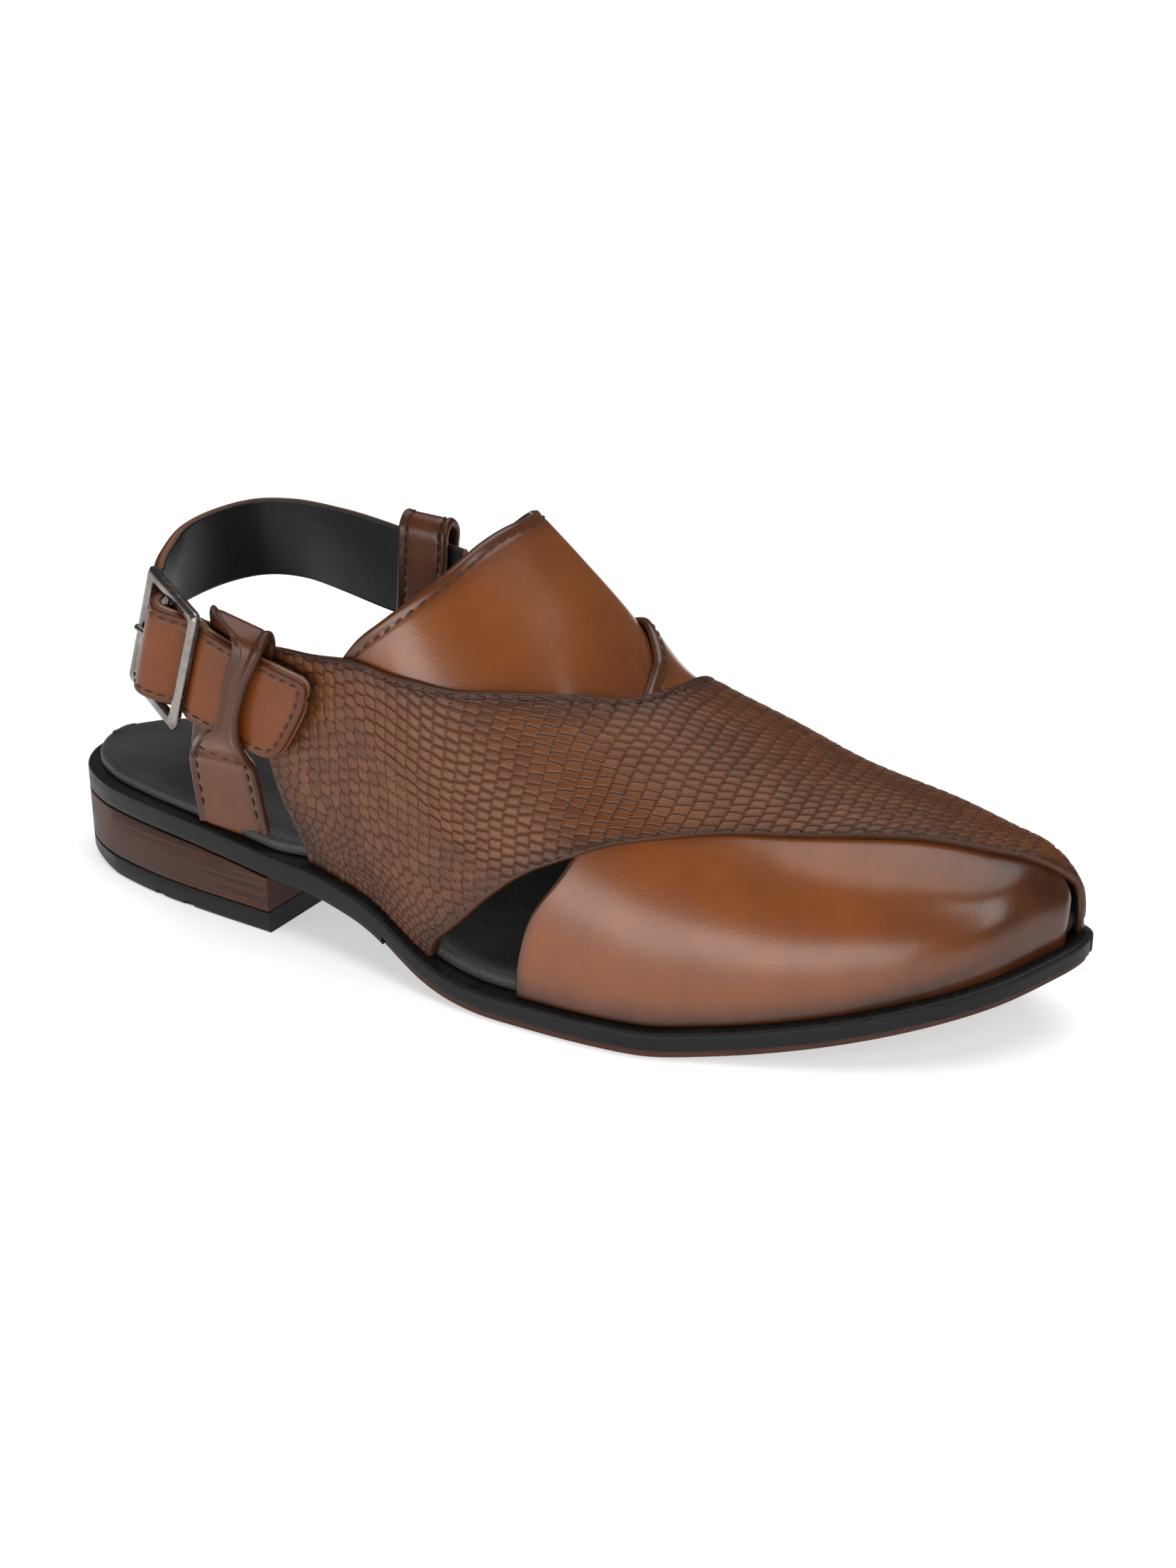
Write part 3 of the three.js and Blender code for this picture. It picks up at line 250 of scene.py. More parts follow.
def unit(vectors):
    return vectors / np.maximum(np.linalg.norm(vectors, axis=-1, keepdims=True), 1e-9)


def last_normal(x, turn):
    step = 0.5
    end = SOLE_LENGTH * LAST_END - 0.05
    along = last_point(np.minimum(x + step, end), turn) - last_point(x - step, turn)
    around = last_point(x, turn + 1) - last_point(x, turn - 1)
    normal = unit(np.cross(along, around))
    low = (turn < 1) | (turn > 179)
    normal[..., 2] = np.where(low, 0, normal[..., 2])
    return unit(normal)


def smooth_step(value, low, high):
    t = np.clip((value - low) / (high - low), 0, 1)
    return t * t * (3 - 2 * t)


def bump_at(distance, width):
    return np.exp(-((distance / width) ** 2))


# Meshes
def add_mesh(name, points, faces, material, node, slot, **masks):
    """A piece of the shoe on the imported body, in place of its CAD node."""
    mesh = bpy.data.meshes.new(name)
    mesh.from_pydata(((np.asarray(points) + SHIFT) * MM).tolist(), [], faces)
    mesh.validate()
    mesh.shade_smooth()
    for mask, values in masks.items():
        layer = mesh.attributes.new(mask, "FLOAT", "POINT")
        layer.data.foreach_set("value", np.asarray(values, np.float32).ravel())
    mesh.materials.append(material)
    piece = bpy.data.objects.new(name, mesh)
    bpy.context.collection.objects.link(piece)
    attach(piece, "root")
    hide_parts(node)
    return piece


def grid_faces(rows, columns, start=0, flip=False, closed=False):
    """Quads of a grid whose points run row after row."""
    faces = []
    last = columns if closed else columns - 1
    for r in range(rows - 1):
        for c in range(last):
            a = start + r * columns + c
            b = start + r * columns + (c + 1) % columns
            quad = (a, b, b + columns, a + columns)
            faces.append(quad[::-1] if flip else quad)
    return faces


def closed_tube(rows, columns, start=0, flip=False):
    """Faces of a tube of rings, closed at both ends."""
    end = start + (rows - 1) * columns
    caps = [list(range(start, start + columns))[::-1], list(range(end, end + columns))]
    faces = grid_faces(rows, columns, start, flip, closed=True)
    return faces + [cap[::-1] if flip else cap for cap in caps]


def lengths_along(points, axis):
    """Distance walked from the start along one axis of a grid of points."""
    steps = np.linalg.norm(np.diff(points, axis=axis), axis=-1)
    start = np.zeros_like(np.take(steps, [0], axis=axis))
    return np.concatenate([start, np.cumsum(steps, axis=axis)], axis=axis)


def between(at, walked, values):
    """Values of a line's points at distances walked along it."""
    return np.stack([np.interp(at, walked, column) for column in values.T], -1)


COARSE = 4  # fine steps to one step of a strap's inner face


class Leather:
    """Piece of leather between two edges on the last, on a fine grid."""

    def __init__(self, table, across, along):
        places = np.linspace(0, 1, len(table))
        even = np.linspace(0, 1, 400)
        middle = self.at(table, places, even, np.full(1, 0.5))
        walked = lengths_along(last_point(*middle), 0)[:, 0]
        place = np.interp(np.linspace(0, walked[-1], across + 1), walked, even)
        self.x, self.turn = self.at(table, places, place, np.linspace(0, 1, along + 1))
        self.base = last_point(self.x, self.turn)
        self.normal = last_normal(self.x, self.turn)
        self.rear = lengths_along(self.base, 1)
        self.front = self.rear[:, -1:] - self.rear
        self.low = self.base[..., 2] - band_top(self.x)

    @staticmethod
    def at(table, places, place, share):
        rear_x, rear_turn, front_x, front_turn = (
            through(places, table[:, column], place)[:, None] for column in range(4)
        )
        x = SOLE_LENGTH * (rear_x + (front_x - rear_x) * share)
        return x, rear_turn + (front_turn - rear_turn) * share

    def offset(self, distance):
        points = self.base + self.normal * np.asarray(distance)[..., None]
        lift = band_top(points[..., 0]) + CLEARANCE
        points[..., 2] = np.maximum(points[..., 2], lift)
        return points

    def build(self, name, over, under, material, lining, node, slot, **masks):
        """Body with its fine outer face in one finish and its plain inner face in the lining."""
        outside = self.offset(over)
        inside = self.offset(under)[::COARSE, ::COARSE]
        rows, columns = outside.shape[:2]
        few_rows, few_columns = inside.shape[:2]
        count = rows * columns
        faces = grid_faces(rows, columns, flip=True)
        faces += grid_faces(few_rows, few_columns, start=count)
        fine = np.arange(count).reshape(rows, columns)
        few = count + np.arange(few_rows * few_columns).reshape(few_rows, few_columns)
        for edge, low, turned in (
            (fine[0], few[0], False),
            (fine[-1], few[-1], True),
            (fine[:, 0], few[:, 0], True),
            (fine[:, -1], few[:, -1], False),
        ):
            for i in range(len(low) - 1):
                ring = [*edge[i * COARSE : (i + 1) * COARSE + 1], low[i + 1], low[i]]
                faces.append([int(v) for v in (ring[::-1] if turned else ring)])
        points = np.concatenate([outside.reshape(-1, 3), inside.reshape(-1, 3)])
        padded = {
            mask: np.concatenate([values.ravel(), values[::COARSE, ::COARSE].ravel()])
            for mask, values in masks.items()
        }
        piece = add_mesh(name, points, faces, material, node, slot, **padded)
        piece.data.materials.append(lining)
        outer_count = (rows - 1) * (columns - 1)
        inner_count = (few_rows - 1) * (few_columns - 1)
        parts = np.zeros(len(piece.data.polygons), np.int32)
        parts[outer_count : outer_count + inner_count] = 1
        piece.data.polygons.foreach_set("material_index", parts)
        return piece


def edge_round(distance, radius=1.0):
    """How far a cut edge falls away near its border."""
    near = np.clip(radius - distance, 0, radius)
    return radius - np.sqrt(radius**2 - near**2)


THREAD_RADIUS = 0.36
THREAD_LEAN = 0.12  # of a stitch across its row
HALF_STITCH = 0.38  # of the pitch
ROW_STEP = 0.8  # each way along a row, to find its direction


def stitches(name, points, normals, node, slot, pitch=STITCH_PITCH):
    """Row of thread stitches along a line on a piece."""
    points = np.asarray(points, float)
    walked = lengths_along(points, 0)
    count = max(int(walked[-1] / pitch), 1)
    around = np.linspace(0, 2 * pi, 7)[:-1]
    shares = np.linspace(-1, 1, 7)
    spots, faces = [], []
    for middle in (np.arange(count) + 0.5) * walked[-1] / count:
        place, ahead, behind = (
            between(middle + step, walked, points) for step in (0, ROW_STEP, -ROW_STEP)
        )
        out = unit(between(middle, walked, normals))
        along = unit(ahead - behind)
        along = unit(along + THREAD_LEAN * unit(np.cross(out, along)))
        side = unit(np.cross(out, along))
        faces += closed_tube(len(shares), len(around), start=len(spots))
        for share in shares:
            thick = THREAD_RADIUS * (1 - 0.92 * abs(share) ** 2.5)
            sink = -0.25 * share**2
            for angle in around:
                ring = side * np.cos(angle) * thick + out * (np.sin(angle) * thick * 0.8 + sink + 0.08)
                spots.append(place + along * share * (HALF_STITCH * pitch) + ring)
    return add_mesh(name, spots, faces, THREAD, node, slot)


# Shader groups and materials
def put_out(group, outside, **values):
    for socket, value in values.items():
        group.links.new(value, outside.inputs[socket])


def new_group(name, inputs, outputs):
    """Shader group with its sockets, and its input and output nodes."""
    group = bpy.data.node_groups.new(name, "ShaderNodeTree")
    for socket, kind, value in inputs:
        item = group.interface.new_socket(socket, in_out="INPUT", socket_type="NodeSocket" + kind)
        item.default_value = value
    for socket, kind in outputs:
        group.interface.new_socket(socket, in_out="OUTPUT", socket_type="NodeSocket" + kind)
    return group, group.nodes.new("NodeGroupInput"), group.nodes.new("NodeGroupOutput")


def math_node(tree, operation, first, second, clamp=False):
    node = tree.nodes.new("ShaderNodeMath")
    node.operation = operation
    node.use_clamp = clamp
    for socket, value in zip(node.inputs, (first, second)):
        if isinstance(value, (int, float)):
            socket.default_value = value
        else:
            tree.links.new(value, socket)
    return node.outputs[0]


def times_plus(tree, value, factor, plus):
    return math_node(tree, "ADD", math_node(tree, "MULTIPLY", value, factor), plus)


def noise_node(tree, vector, scale, detail=3.0, rough=0.55, stretch=None):
    if stretch:
        mapping = tree.nodes.new("ShaderNodeMapping")
        mapping.inputs["Scale"].default_value = stretch
        tree.links.new(vector, mapping.inputs["Vector"])
        vector = mapping.outputs[0]
    node = tree.nodes.new("ShaderNodeTexNoise")
    node.inputs["Scale"].default_value = scale
    node.inputs["Detail"].default_value = detail
    node.inputs["Roughness"].default_value = rough
    tree.links.new(vector, node.inputs["Vector"])
    return node.outputs["Fac"]


def ramp(tree, value, low, high):
    node = tree.nodes.new("ShaderNodeMapRange")
    node.interpolation_type = "SMOOTHSTEP"
    node.inputs["From Min"].default_value = low
    node.inputs["From Max"].default_value = high
    tree.links.new(value, node.inputs["Value"])
    return node.outputs["Result"]


def mix_colour(tree, share, first, second):
    node = tree.nodes.new("ShaderNodeMix")
    node.data_type = "RGBA"
    for socket, value in ((node.inputs[0], share), (node.inputs[6], first), (node.inputs[7], second)):
        if isinstance(value, (tuple, float, int)):
            socket.default_value = value
        else:
            tree.links.new(value, socket)
    return node.outputs[2]


def hide_grain_group():
    """Fine grain and pores of smooth hide: a height and a slight cloud."""
    group, inside, outside = new_group(
        "hide grain",
        [("Vector", "Vector", (0, 0, 0)), ("Pores", "Float", 1.0)],
        [("Height", "Float"), ("Cloud", "Float")],
    )
    vector = inside.outputs["Vector"]
    cells = group.nodes.new("ShaderNodeTexVoronoi")
    cells.feature = "SMOOTH_F1"
    cells.inputs["Scale"].default_value = 1500
    group.links.new(vector, cells.inputs["Vector"])
    fine = noise_node(group, vector, 900, 4, 0.6)
    crease = noise_node(group, vector, 190, 3, 0.5)
    pores = math_node(group, "MULTIPLY", cells.outputs["Distance"], inside.outputs["Pores"])
    height = times_plus(group, crease, 0.3, times_plus(group, fine, 0.6, pores))
    cloud = ramp(group, noise_node(group, vector, 42, 4, 0.6), 0.3, 0.72)
    put_out(group, outside, Height=height, Cloud=cloud)
    return group


def burnish_group():
    """Hand burnished colour: a warm centre, dark rubbed edges and cloudy patches, plus painted shadow
    wherever a piece's mask darkens it towards the edge colour.
    """
    group, inside, outside = new_group(
        "burnish",
        [
            ("Centre", "Color", (0.5, 0.2, 0.05, 1)),
            ("Patch", "Color", (0.4, 0.15, 0.04, 1)),
            ("Edge", "Color", (0.05, 0.02, 0.015, 1)),
            ("Burn", "Float", 0.0),
            ("Cloud", "Float", 0.5),
        ],
        [("Color", "Color"), ("Dark", "Float")],
    )
    given = inside.outputs
    patchy = mix_colour(group, given["Cloud"], given["Centre"], given["Patch"])
    spread = times_plus(group, given["Cloud"], 0.3, 0.85)
    burn = math_node(group, "MULTIPLY", given["Burn"], spread, clamp=True)
    put_out(group, outside, Color=mix_colour(group, burn, patchy, given["Edge"]), Dark=burn)
    return group


def brushed_group():
    """Fine lines left by trimming, running round the sole: a height and a tint."""
    group, inside, outside = new_group(
        "trim lines",
        [("Vector", "Vector", (0, 0, 0))],
        [("Height", "Float"), ("Tint", "Float")],
    )
    vector = inside.outputs["Vector"]
    lines = noise_node(group, vector, 60, 5, 0.7, stretch=(0.5, 0.5, 60))
    broad = noise_node(group, vector, 60, 4, 0.6, stretch=(0.4, 0.4, 14))
    tint = ramp(group, math_node(group, "ADD", lines, broad), 0.75, 1.25)
    put_out(group, outside, Height=lines, Tint=tint)
    return group


HIDE_GRAIN = hide_grain_group()
BURNISH_AND_SHADOW = burnish_group()
TRIM_LINES = brushed_group()


class Finish:
    """A material with a Principled shader, its place and its bump."""

    def __init__(self, name, **settings):
        self.material = bpy.data.materials.new(name)
        self.material.use_nodes = True
        self.tree = self.material.node_tree
        self.shader = self.tree.nodes["Principled BSDF"]
        for socket, value in settings.items():
            self.shader.inputs[socket.replace("_", " ")].default_value = value
        self.place = self.tree.nodes.new("ShaderNodeTexCoord").outputs["Object"]

    def group(self, group, **links):
        node = self.tree.nodes.new("ShaderNodeGroup")
        node.node_tree = group
        for socket, value in links.items():
            if isinstance(value, (tuple, float, int)):
                node.inputs[socket].default_value = value
            else:
                self.tree.links.new(value, node.inputs[socket])
        return node.outputs

    def mask(self, name):
        node = self.tree.nodes.new("ShaderNodeAttribute")
        node.attribute_name = name
        return node.outputs["Fac"]

    # Colour through the burnish group: its mask holds burnished edges and, on the instep flap, painted
    # shadow.
    def dye_and_shadow(self, grain, centre, patch, edge):
        colours = {"Centre": centre, "Patch": patch, "Edge": edge}
        return self.group(BURNISH_AND_SHADOW, Burn=self.mask("burn"), Cloud=grain["Cloud"], **colours)["Color"]

    def mix(self, share, first, second):
        return mix_colour(self.tree, share, first, second)

    def bump(self, height, depth):
        node = self.tree.nodes.new("ShaderNodeBump")
        node.inputs["Distance"].default_value = depth
        self.tree.links.new(height, node.inputs["Height"])
        self.tree.links.new(node.outputs[0], self.shader.inputs["Normal"])

    def to(self, socket, value):
        self.tree.links.new(value, self.shader.inputs[socket])

    def rough(self, value, factor, plus):
        self.to("Roughness", times_plus(self.tree, value, factor, plus))


# Centre, patches and rubbed edges of each leather; on the instep flap the tan edge colour also serves as
# painted shadow
TAN_COLOURS = ((0.22, 0.062, 0.014, 1), (0.165, 0.045, 0.01, 1), (0.042, 0.012, 0.004, 1))
POST_COLOURS = ((0.12, 0.036, 0.01, 1), (0.09, 0.027, 0.008, 1), (0.04, 0.012, 0.005, 1))
STRAP_COLOURS = ((0.165, 0.042, 0.007, 1), (0.13, 0.033, 0.006, 1), (0.045, 0.013, 0.005, 1))
SCALED_COLOURS = ((0.135, 0.042, 0.011, 1), (0.09, 0.027, 0.008, 1), (0.046, 0.016, 0.007, 1))
SCALE_LIGHT = (0.17, 0.058, 0.017, 1)
SCALE_GROOVE = (0.03, 0.011, 0.006, 1)
CUT_EDGE = (0.2, 0.1, 0.06, 1)
LINING_BLACK = (0.012, 0.011, 0.011, 1)


def burnished_leather(name, colours, rough, depth, coat):
    finish = Finish(name, Coat_Weight=coat, Coat_Roughness=0.2, Specular_IOR_Level=0.3)
    grain = finish.group(HIDE_GRAIN, Vector=finish.place)
    finish.to("Base Color", finish.dye_and_shadow(grain, *colours))
    finish.rough(grain["Cloud"], 0.08, rough)
    finish.bump(grain["Height"], depth)
    return finish.material


def scaled_leather():
    finish = Finish("scaled_leather", Coat_Weight=0.06, Coat_Roughness=0.25, Specular_IOR_Level=0.3)
    grain = finish.group(HIDE_GRAIN, Vector=finish.place)
    dye_and_shadow = finish.dye_and_shadow(grain, *SCALED_COLOURS)
    groove = finish.mask("groove")
    toned = finish.mix(finish.mask("tone"), dye_and_shadow, SCALE_LIGHT)
    finish.to("Base Color", finish.mix(groove, toned, SCALE_GROOVE))
    finish.rough(groove, 0.5, 0.36)
    finish.bump(grain["Height"], 0.00004)
    return finish.material


def strap_leather():
    finish = Finish("heel_strap_leather", Coat_Weight=0.12, Coat_Roughness=0.25, Specular_IOR_Level=0.25)
    grain = finish.group(HIDE_GRAIN, Vector=finish.place)
    cut = finish.mix(finish.mask("core"), finish.dye_and_shadow(grain, *STRAP_COLOURS), CUT_EDGE)
    finish.to("Base Color", finish.mix(finish.mask("lined"), cut, LINING_BLACK))
    finish.rough(grain["Cloud"], 0.08, 0.34)
    finish.bump(grain["Height"], 0.00005)
    return finish.material


def two_tone(name, group, mask, dark, light, swing, rough, depth, shine):
    """Finish between two tones that a group's mask shares out, with roughness that follows it."""
    finish = Finish(name, Specular_IOR_Level=shine)
    found = finish.group(group, Vector=finish.place)
    finish.to("Base Color", finish.mix(found[mask], dark, light))
    finish.rough(found[mask], swing, rough)
    finish.bump(found["Height"], depth)
    return finish.material


TAN = burnished_leather("burnished_tan", TAN_COLOURS, 0.24, 0.00003, 0.45)
TAN_DARK = burnished_leather("post_leather", POST_COLOURS, 0.3, 0.00005, 0.18)
SCALED = scaled_leather()
STRAP = strap_leather()
LINING = two_tone(
    "black_lining", HIDE_GRAIN, "Cloud",
    (0.009, 0.008, 0.008, 1), (0.0144, 0.0128, 0.0128, 1), 0.12, 0.5, 0.00012, 0.35,
)
FOOTBED = two_tone(
    "footbed_leather", HIDE_GRAIN, "Cloud",
    (0.03, 0.028, 0.027, 1), (0.048, 0.0448, 0.0432, 1), 0.12, 0.4, 0.00016, 0.35,
)
THREAD = two_tone(
    "waxed_thread", HIDE_GRAIN, "Cloud",
    (0.035, 0.014, 0.01, 1), (0.06, 0.025, 0.016, 1), 0.1, 0.5, 0.0001, 0.4,
)
RUBBER = two_tone(
    "black_rubber", TRIM_LINES, "Tint",
    (0.004, 0.004, 0.004, 1), (0.009, 0.009, 0.009, 1), 0.15, 0.36, 0.00006, 0.2,
)
STACK = two_tone(
    "stacked_leather", TRIM_LINES, "Tint",
    (0.02, 0.007, 0.004, 1), (0.075, 0.025, 0.014, 1), 0.15, 0.4, 0.0001, 0.2,
)
TREAD = two_tone(
    "tread", TRIM_LINES, "Tint",
    (0.045, 0.018, 0.012, 1), (0.07, 0.03, 0.02, 1), 0.15, 0.55, 0.0001, 0.2,
)


def nickel_material():
    finish = Finish("worn_nickel", Metallic=1.0)
    spots = noise_node(finish.tree, finish.place, 700, 5, 0.7)
    worn = ramp(finish.tree, spots, 0.5, 0.62)
    broad = ramp(finish.tree, noise_node(finish.tree, finish.place, 90, 3), 0.35, 0.65)
    finish.to("Base Color", finish.mix(broad, (0.13, 0.12, 0.115, 1), (0.3, 0.27, 0.245, 1)))
    finish.rough(worn, 0.2, 0.18)
    finish.bump(spots, 0.00004)
    return finish.material


NICKEL = nickel_material()


# Smooth strap and toe panel, one piece of leather
smooth = Leather(SMOOTH_STRAP, 300, 148)
toe_end = smooth_step(smooth.x, 250, 292)
smooth_burn = (
    0.9 * bump_at(smooth.rear, np.where(smooth.turn < 80, 1.8, 5))
    + 0.75 * bump_at(smooth.front, 7)
    + 0.95 * bump_at(smooth.low, 5)
    + 0.9 * toe_end
)
SEAM_IN = 3.0
seam = 0.22 * bump_at(smooth.rear - SEAM_IN, 0.6) * (smooth.turn > 75)
smooth.build(
    "smooth_strap",
    -edge_round(smooth.rear) - edge_round(smooth.front) - seam,
    np.full_like(smooth.x, -LEATHER),
    TAN, LINING, "upper", "upper",
    burn=np.clip(smooth_burn, 0, 1),
)


# Scaled strap over it
def strap_overlap(x, turn):
    rear = SMOOTH_STRAP[:, 0].max() * SOLE_LENGTH
    return np.maximum(smooth_step(x, rear - 14, rear + 3), smooth_step(turn, 70, 84))


def girth(x, turn):
    """Distance round the last from its outer edge on the sole, at a set place along it."""
    grid_x, grid_turn = np.linspace(x.min(), x.max(), 160), np.linspace(0, 180, 181)
    around = lengths_along(last_point(*np.meshgrid(grid_x, grid_turn, indexing="ij")), 1)
    row = (x - grid_x[0]) / (grid_x[1] - grid_x[0])
    low = np.clip(np.floor(row).astype(int), 0, len(grid_x) - 2)
    first = np.clip(np.floor(turn).astype(int), 0, len(grid_turn) - 2)
    part, step = row - low, turn - first
    near = around[low, first] * (1 - step) + around[low, first + 1] * step
    far = around[low + 1, first] * (1 - step) + around[low + 1, first + 1] * step
    return near * (1 - part) + far * part


SMALL_SCALES = 20.0  # girth from the sole over which the scales grow to their full size
SCALE_HALF = 2.0  # from the middle of a scale to where its dome ends


def scale_seeds(start, end, top):
    """Middles of the embossed scales on the flat hide: x along the shoe, and girth."""
    seeds = []
    up, row = -4.0, 0
    while up < SMALL_SCALES:
        grown = smooth_step(up, 0, SMALL_SCALES)
        wide, tall = 2.1 + 1.5 * grown, 1.6 + 1.6 * grown
        places = np.arange(start, end, wide) + 0.5 * wide * (row % 2)
        seeds += [(x, up) for x in places]
        up, row = up + tall, row + 1
    column, x = 0, start
    while x < end:
        middle = smooth_step(x, 120, 155)
        wide = 3.6 + 0.15 * middle - 0.6 * smooth_step(x, 200, 250)
        tall = 3.3 - 0.8 * middle
        first = up + tall * (0.5 * (column % 2) + rng.uniform(-0.1, 0.1))
        seeds += [(x, g) for g in np.arange(first, top, tall)]
        column, x = column + 1, x + wide
    seeds = np.array(seeds)
    uneven = 1 - 0.7 * smooth_step(seeds[:, :1], 115, 150)
    return seeds + rng.uniform(-0.42, 0.42, seeds.shape) * uneven


def scale_pattern(piece):
    """Distance to the nearest scale border in millimetres, a tone for each scale, and its dome."""
    up = girth(piece.x, piece.turn)
    along = piece.x + 1.2 * np.sin(up * 0.06 + piece.x * 0.03) + 0.3 * np.sin(up * 0.31)
    seeds = scale_seeds(along.min() - 12, along.max() + 12, up.max() + 12)
    even = np.linspace(along.min() - 20, along.max() + 20, 600)
    straight = 1.05 + 0.45 * smooth_step(even, 120, 155)
    stretched = np.concatenate([[0], np.cumsum(np.diff(even) * (straight[1:] + straight[:-1]) / 2)])
    tree = KDTree(len(seeds))
    flat = np.stack([np.interp(seeds[:, 0], even, stretched), seeds[:, 1]], -1)
    for index, (x, g) in enumerate(flat):
        tree.insert((x, g, 0), index)
    tree.balance()
    tones = rng.uniform(0, 1, len(seeds))
    spots = np.stack([np.interp(along, even, stretched).ravel(), up.ravel()], -1)
    found = [tree.find_n((x, g, 0), 2) for x, g in spots]
    nearest, other = (np.array([pair[k][1] for pair in found]) for k in (0, 1))
    best, second = (np.array([pair[k][2] for pair in found]) for k in (0, 1))
    gap = np.linalg.norm(flat[other] - flat[nearest], axis=1)
    border = (second**2 - best**2) / (2 * gap)
    border *= np.linalg.norm(seeds[other] - seeds[nearest], axis=1) / gap
    return (part.reshape(piece.x.shape) for part in (border, tones[nearest], best / SCALE_HALF))


scaled = Leather(SCALED_STRAP, 480, 180)
crossing = strap_overlap(scaled.x, scaled.turn)
border, tone, centre_gap = scale_pattern(scaled)
edge_gap = np.minimum(scaled.rear, scaled.front)
SCALE_RISE = 0.42
shown = smooth_step(edge_gap, 0.4, 1.6)
dome = smooth_step(border, 0.03, 0.45) * 0.85 - 0.15 * centre_gap**2 - 0.85
SCALED_STITCH_IN = 2.4
scaled_over = (
    OVERLAY_RISE * crossing
    + 0.25
    - edge_round(scaled.rear, 1.2)
    - edge_round(scaled.front, 1.2)
    + SCALE_RISE * shown * dome
    - 0.3 * bump_at(scaled.rear - SCALED_STITCH_IN, 0.55)
)
scaled_burn = (
    0.95 * bump_at(scaled.rear, 7)
    + 0.85 * bump_at(scaled.front, 6)
    + 0.5 * bump_at(scaled.low, 12)
)
scaled.build(
    "scaled_strap",
    scaled_over,
    -LEATHER + (LEATHER - CLEARANCE) * crossing,
    SCALED, LINING, "upper", "upper",
    burn=np.clip(scaled_burn, 0, 1),
    groove=0.85 * bump_at(border, 0.2) * shown,
    tone=np.clip(0.55 * tone**2 * (1 - scaled_burn), 0, 1),
)

# Instep flap under both
flap = Leather(FLAP, 230, 88)
FLAP_TOP = -(LEATHER + 2 * CLEARANCE)
flap_seam = 0.22 * bump_at(flap.rear - SEAM_IN, 0.6)
# Dark burnished rear edge, plus painted shadow that darkens the flap towards its front edge, where it runs
# under the scaled strap.
flap_burn = 0.75 * bump_at(flap.rear, 5) + 0.35 * smooth_step(flap.rear, 25, 75)
flap.build(
    "instep_flap_leather",
    FLAP_TOP - edge_round(flap.rear) - flap_seam,
    np.full_like(flap.x, FLAP_TOP - FLAP_THICKNESS),
    TAN, LINING, "instep_flap", "tan",
    burn=np.clip(flap_burn, 0, 1),
)


SEAM_RISE = 0.12


def seam_row(piece, name, distance_in, lift, node, slot, turns):
    """Stitches a set distance in from a piece's rear edge, between two turns round the last."""
    line, out = [], []
    for i in range(len(piece.x)):
        if turns[0] < piece.turn[i, 0] < turns[1]:
            x, turn = (np.interp([distance_in], piece.rear[i], grid[i]) for grid in (piece.x, piece.turn))
            normal = last_normal(x, turn)[0]
            height = lift[i, np.argmin(np.abs(piece.rear[i] - distance_in))]
            line.append(last_point(x, turn)[0] + normal * (height + SEAM_RISE))
            out.append(normal)
    stitches(name, line, np.array(out), node, slot)


seam_row(flap, "flap_stitches", SEAM_IN, FLAP_TOP - flap_seam, "instep_flap", "tan", (0, 180))
seam_row(scaled, "scaled_stitches", SCALED_STITCH_IN, scaled_over, "upper", "upper", (13, 100))
seam_row(smooth, "smooth_stitches", SEAM_IN, -seam, "upper", "upper", (80, 176))


# Sole, in layers
def layer_points(places, bottom, top, side, ledge=0.0):
    """Rings of a layer of the sole: up the inner side and down the outer one."""
    half = SOLE_LENGTH / 2
    heights, insets = np.array(side, float).T
    places = np.asarray(places, float)[:, None]
    insets = insets + (ledge(places) if callable(ledge) else ledge)
    low, high = bottom(places), top(places)
    x = half + (places - half) * (half - insets) / half
    z = low + (high - low) * heights
    inner = np.stack([x, sole_side(places, 2) - insets, z], -1)
    outer = np.stack([x, sole_side(places, 1) + insets, z], -1)
    return np.concatenate([inner, outer[:, ::-1]], 1)


def stations(start, end, count):
    a, b = round_share(start / SOLE_LENGTH), round_share(end / SOLE_LENGTH)
    return SOLE_LENGTH * (1 - np.cos(np.linspace(a, b, count + 1))) / 2


def add_layer(name, rings, material, node, slot, across, smooth_angle=40):
    """Closed body of a layer, its top and bottom cut into strips across the sole."""
    count = rings.shape[1]
    half = count // 2
    shares = np.linspace(0, 1, across + 1)[1:-1][None, :, None]
    over = rings[:, half - 1 : half] * (1 - shares) + rings[:, half : half + 1] * shares
    under = rings[:, -1:] * (1 - shares) + rings[:, :1] * shares
    rings = np.concatenate([rings[:, :half], over, rings[:, half:], under], 1)
    faces = closed_tube(*rings.shape[:2])
    piece = add_mesh(name, rings.reshape(-1, 3), faces, material, node, slot)
    piece.data.set_sharp_from_angle(angle=radians(smooth_angle))
    return piece


END_FLAT = 0.05
# Sides of the layers: share of the height, millimetres in from the outline
RIM = [
    (0, 0.5), (0.03, 0.2), (0.08, 0), (0.3, 0), (0.6, 0), (0.84, 0), (0.9, 0.1), (0.95, 0.3),
    (0.985, 0.7), (1, 1.3),
]
PLAIN = [(0, 0.25), (0.12, 0), (0.5, 0), (0.88, 0), (1, 0.25)]
STACK_SIDE = [(0, 0.2), (0.02, 0), (0.5, 0), (0.98, 0), (1, 0.2)]
LIFT_SIDE = [(0, 0.5), (0.08, 0.1), (0.15, 0), (0.95, 0), (1, 0.2)]
PAD_SIDE = [
    (0, 0.2), (0.08, 0), (0.3, 0), (0.5, 0.05), (0.68, 0.35), (0.82, 0.95), (0.92, 1.8), (0.98, 2.8),
    (1, 4.2),
]
shoulder = OUTSOLE_START - CLEARANCE


def sole_underside(x):
    return band_bottom(x) + np.where(x > shoulder, OUTSOLE_THICKNESS + CLEARANCE, 0)


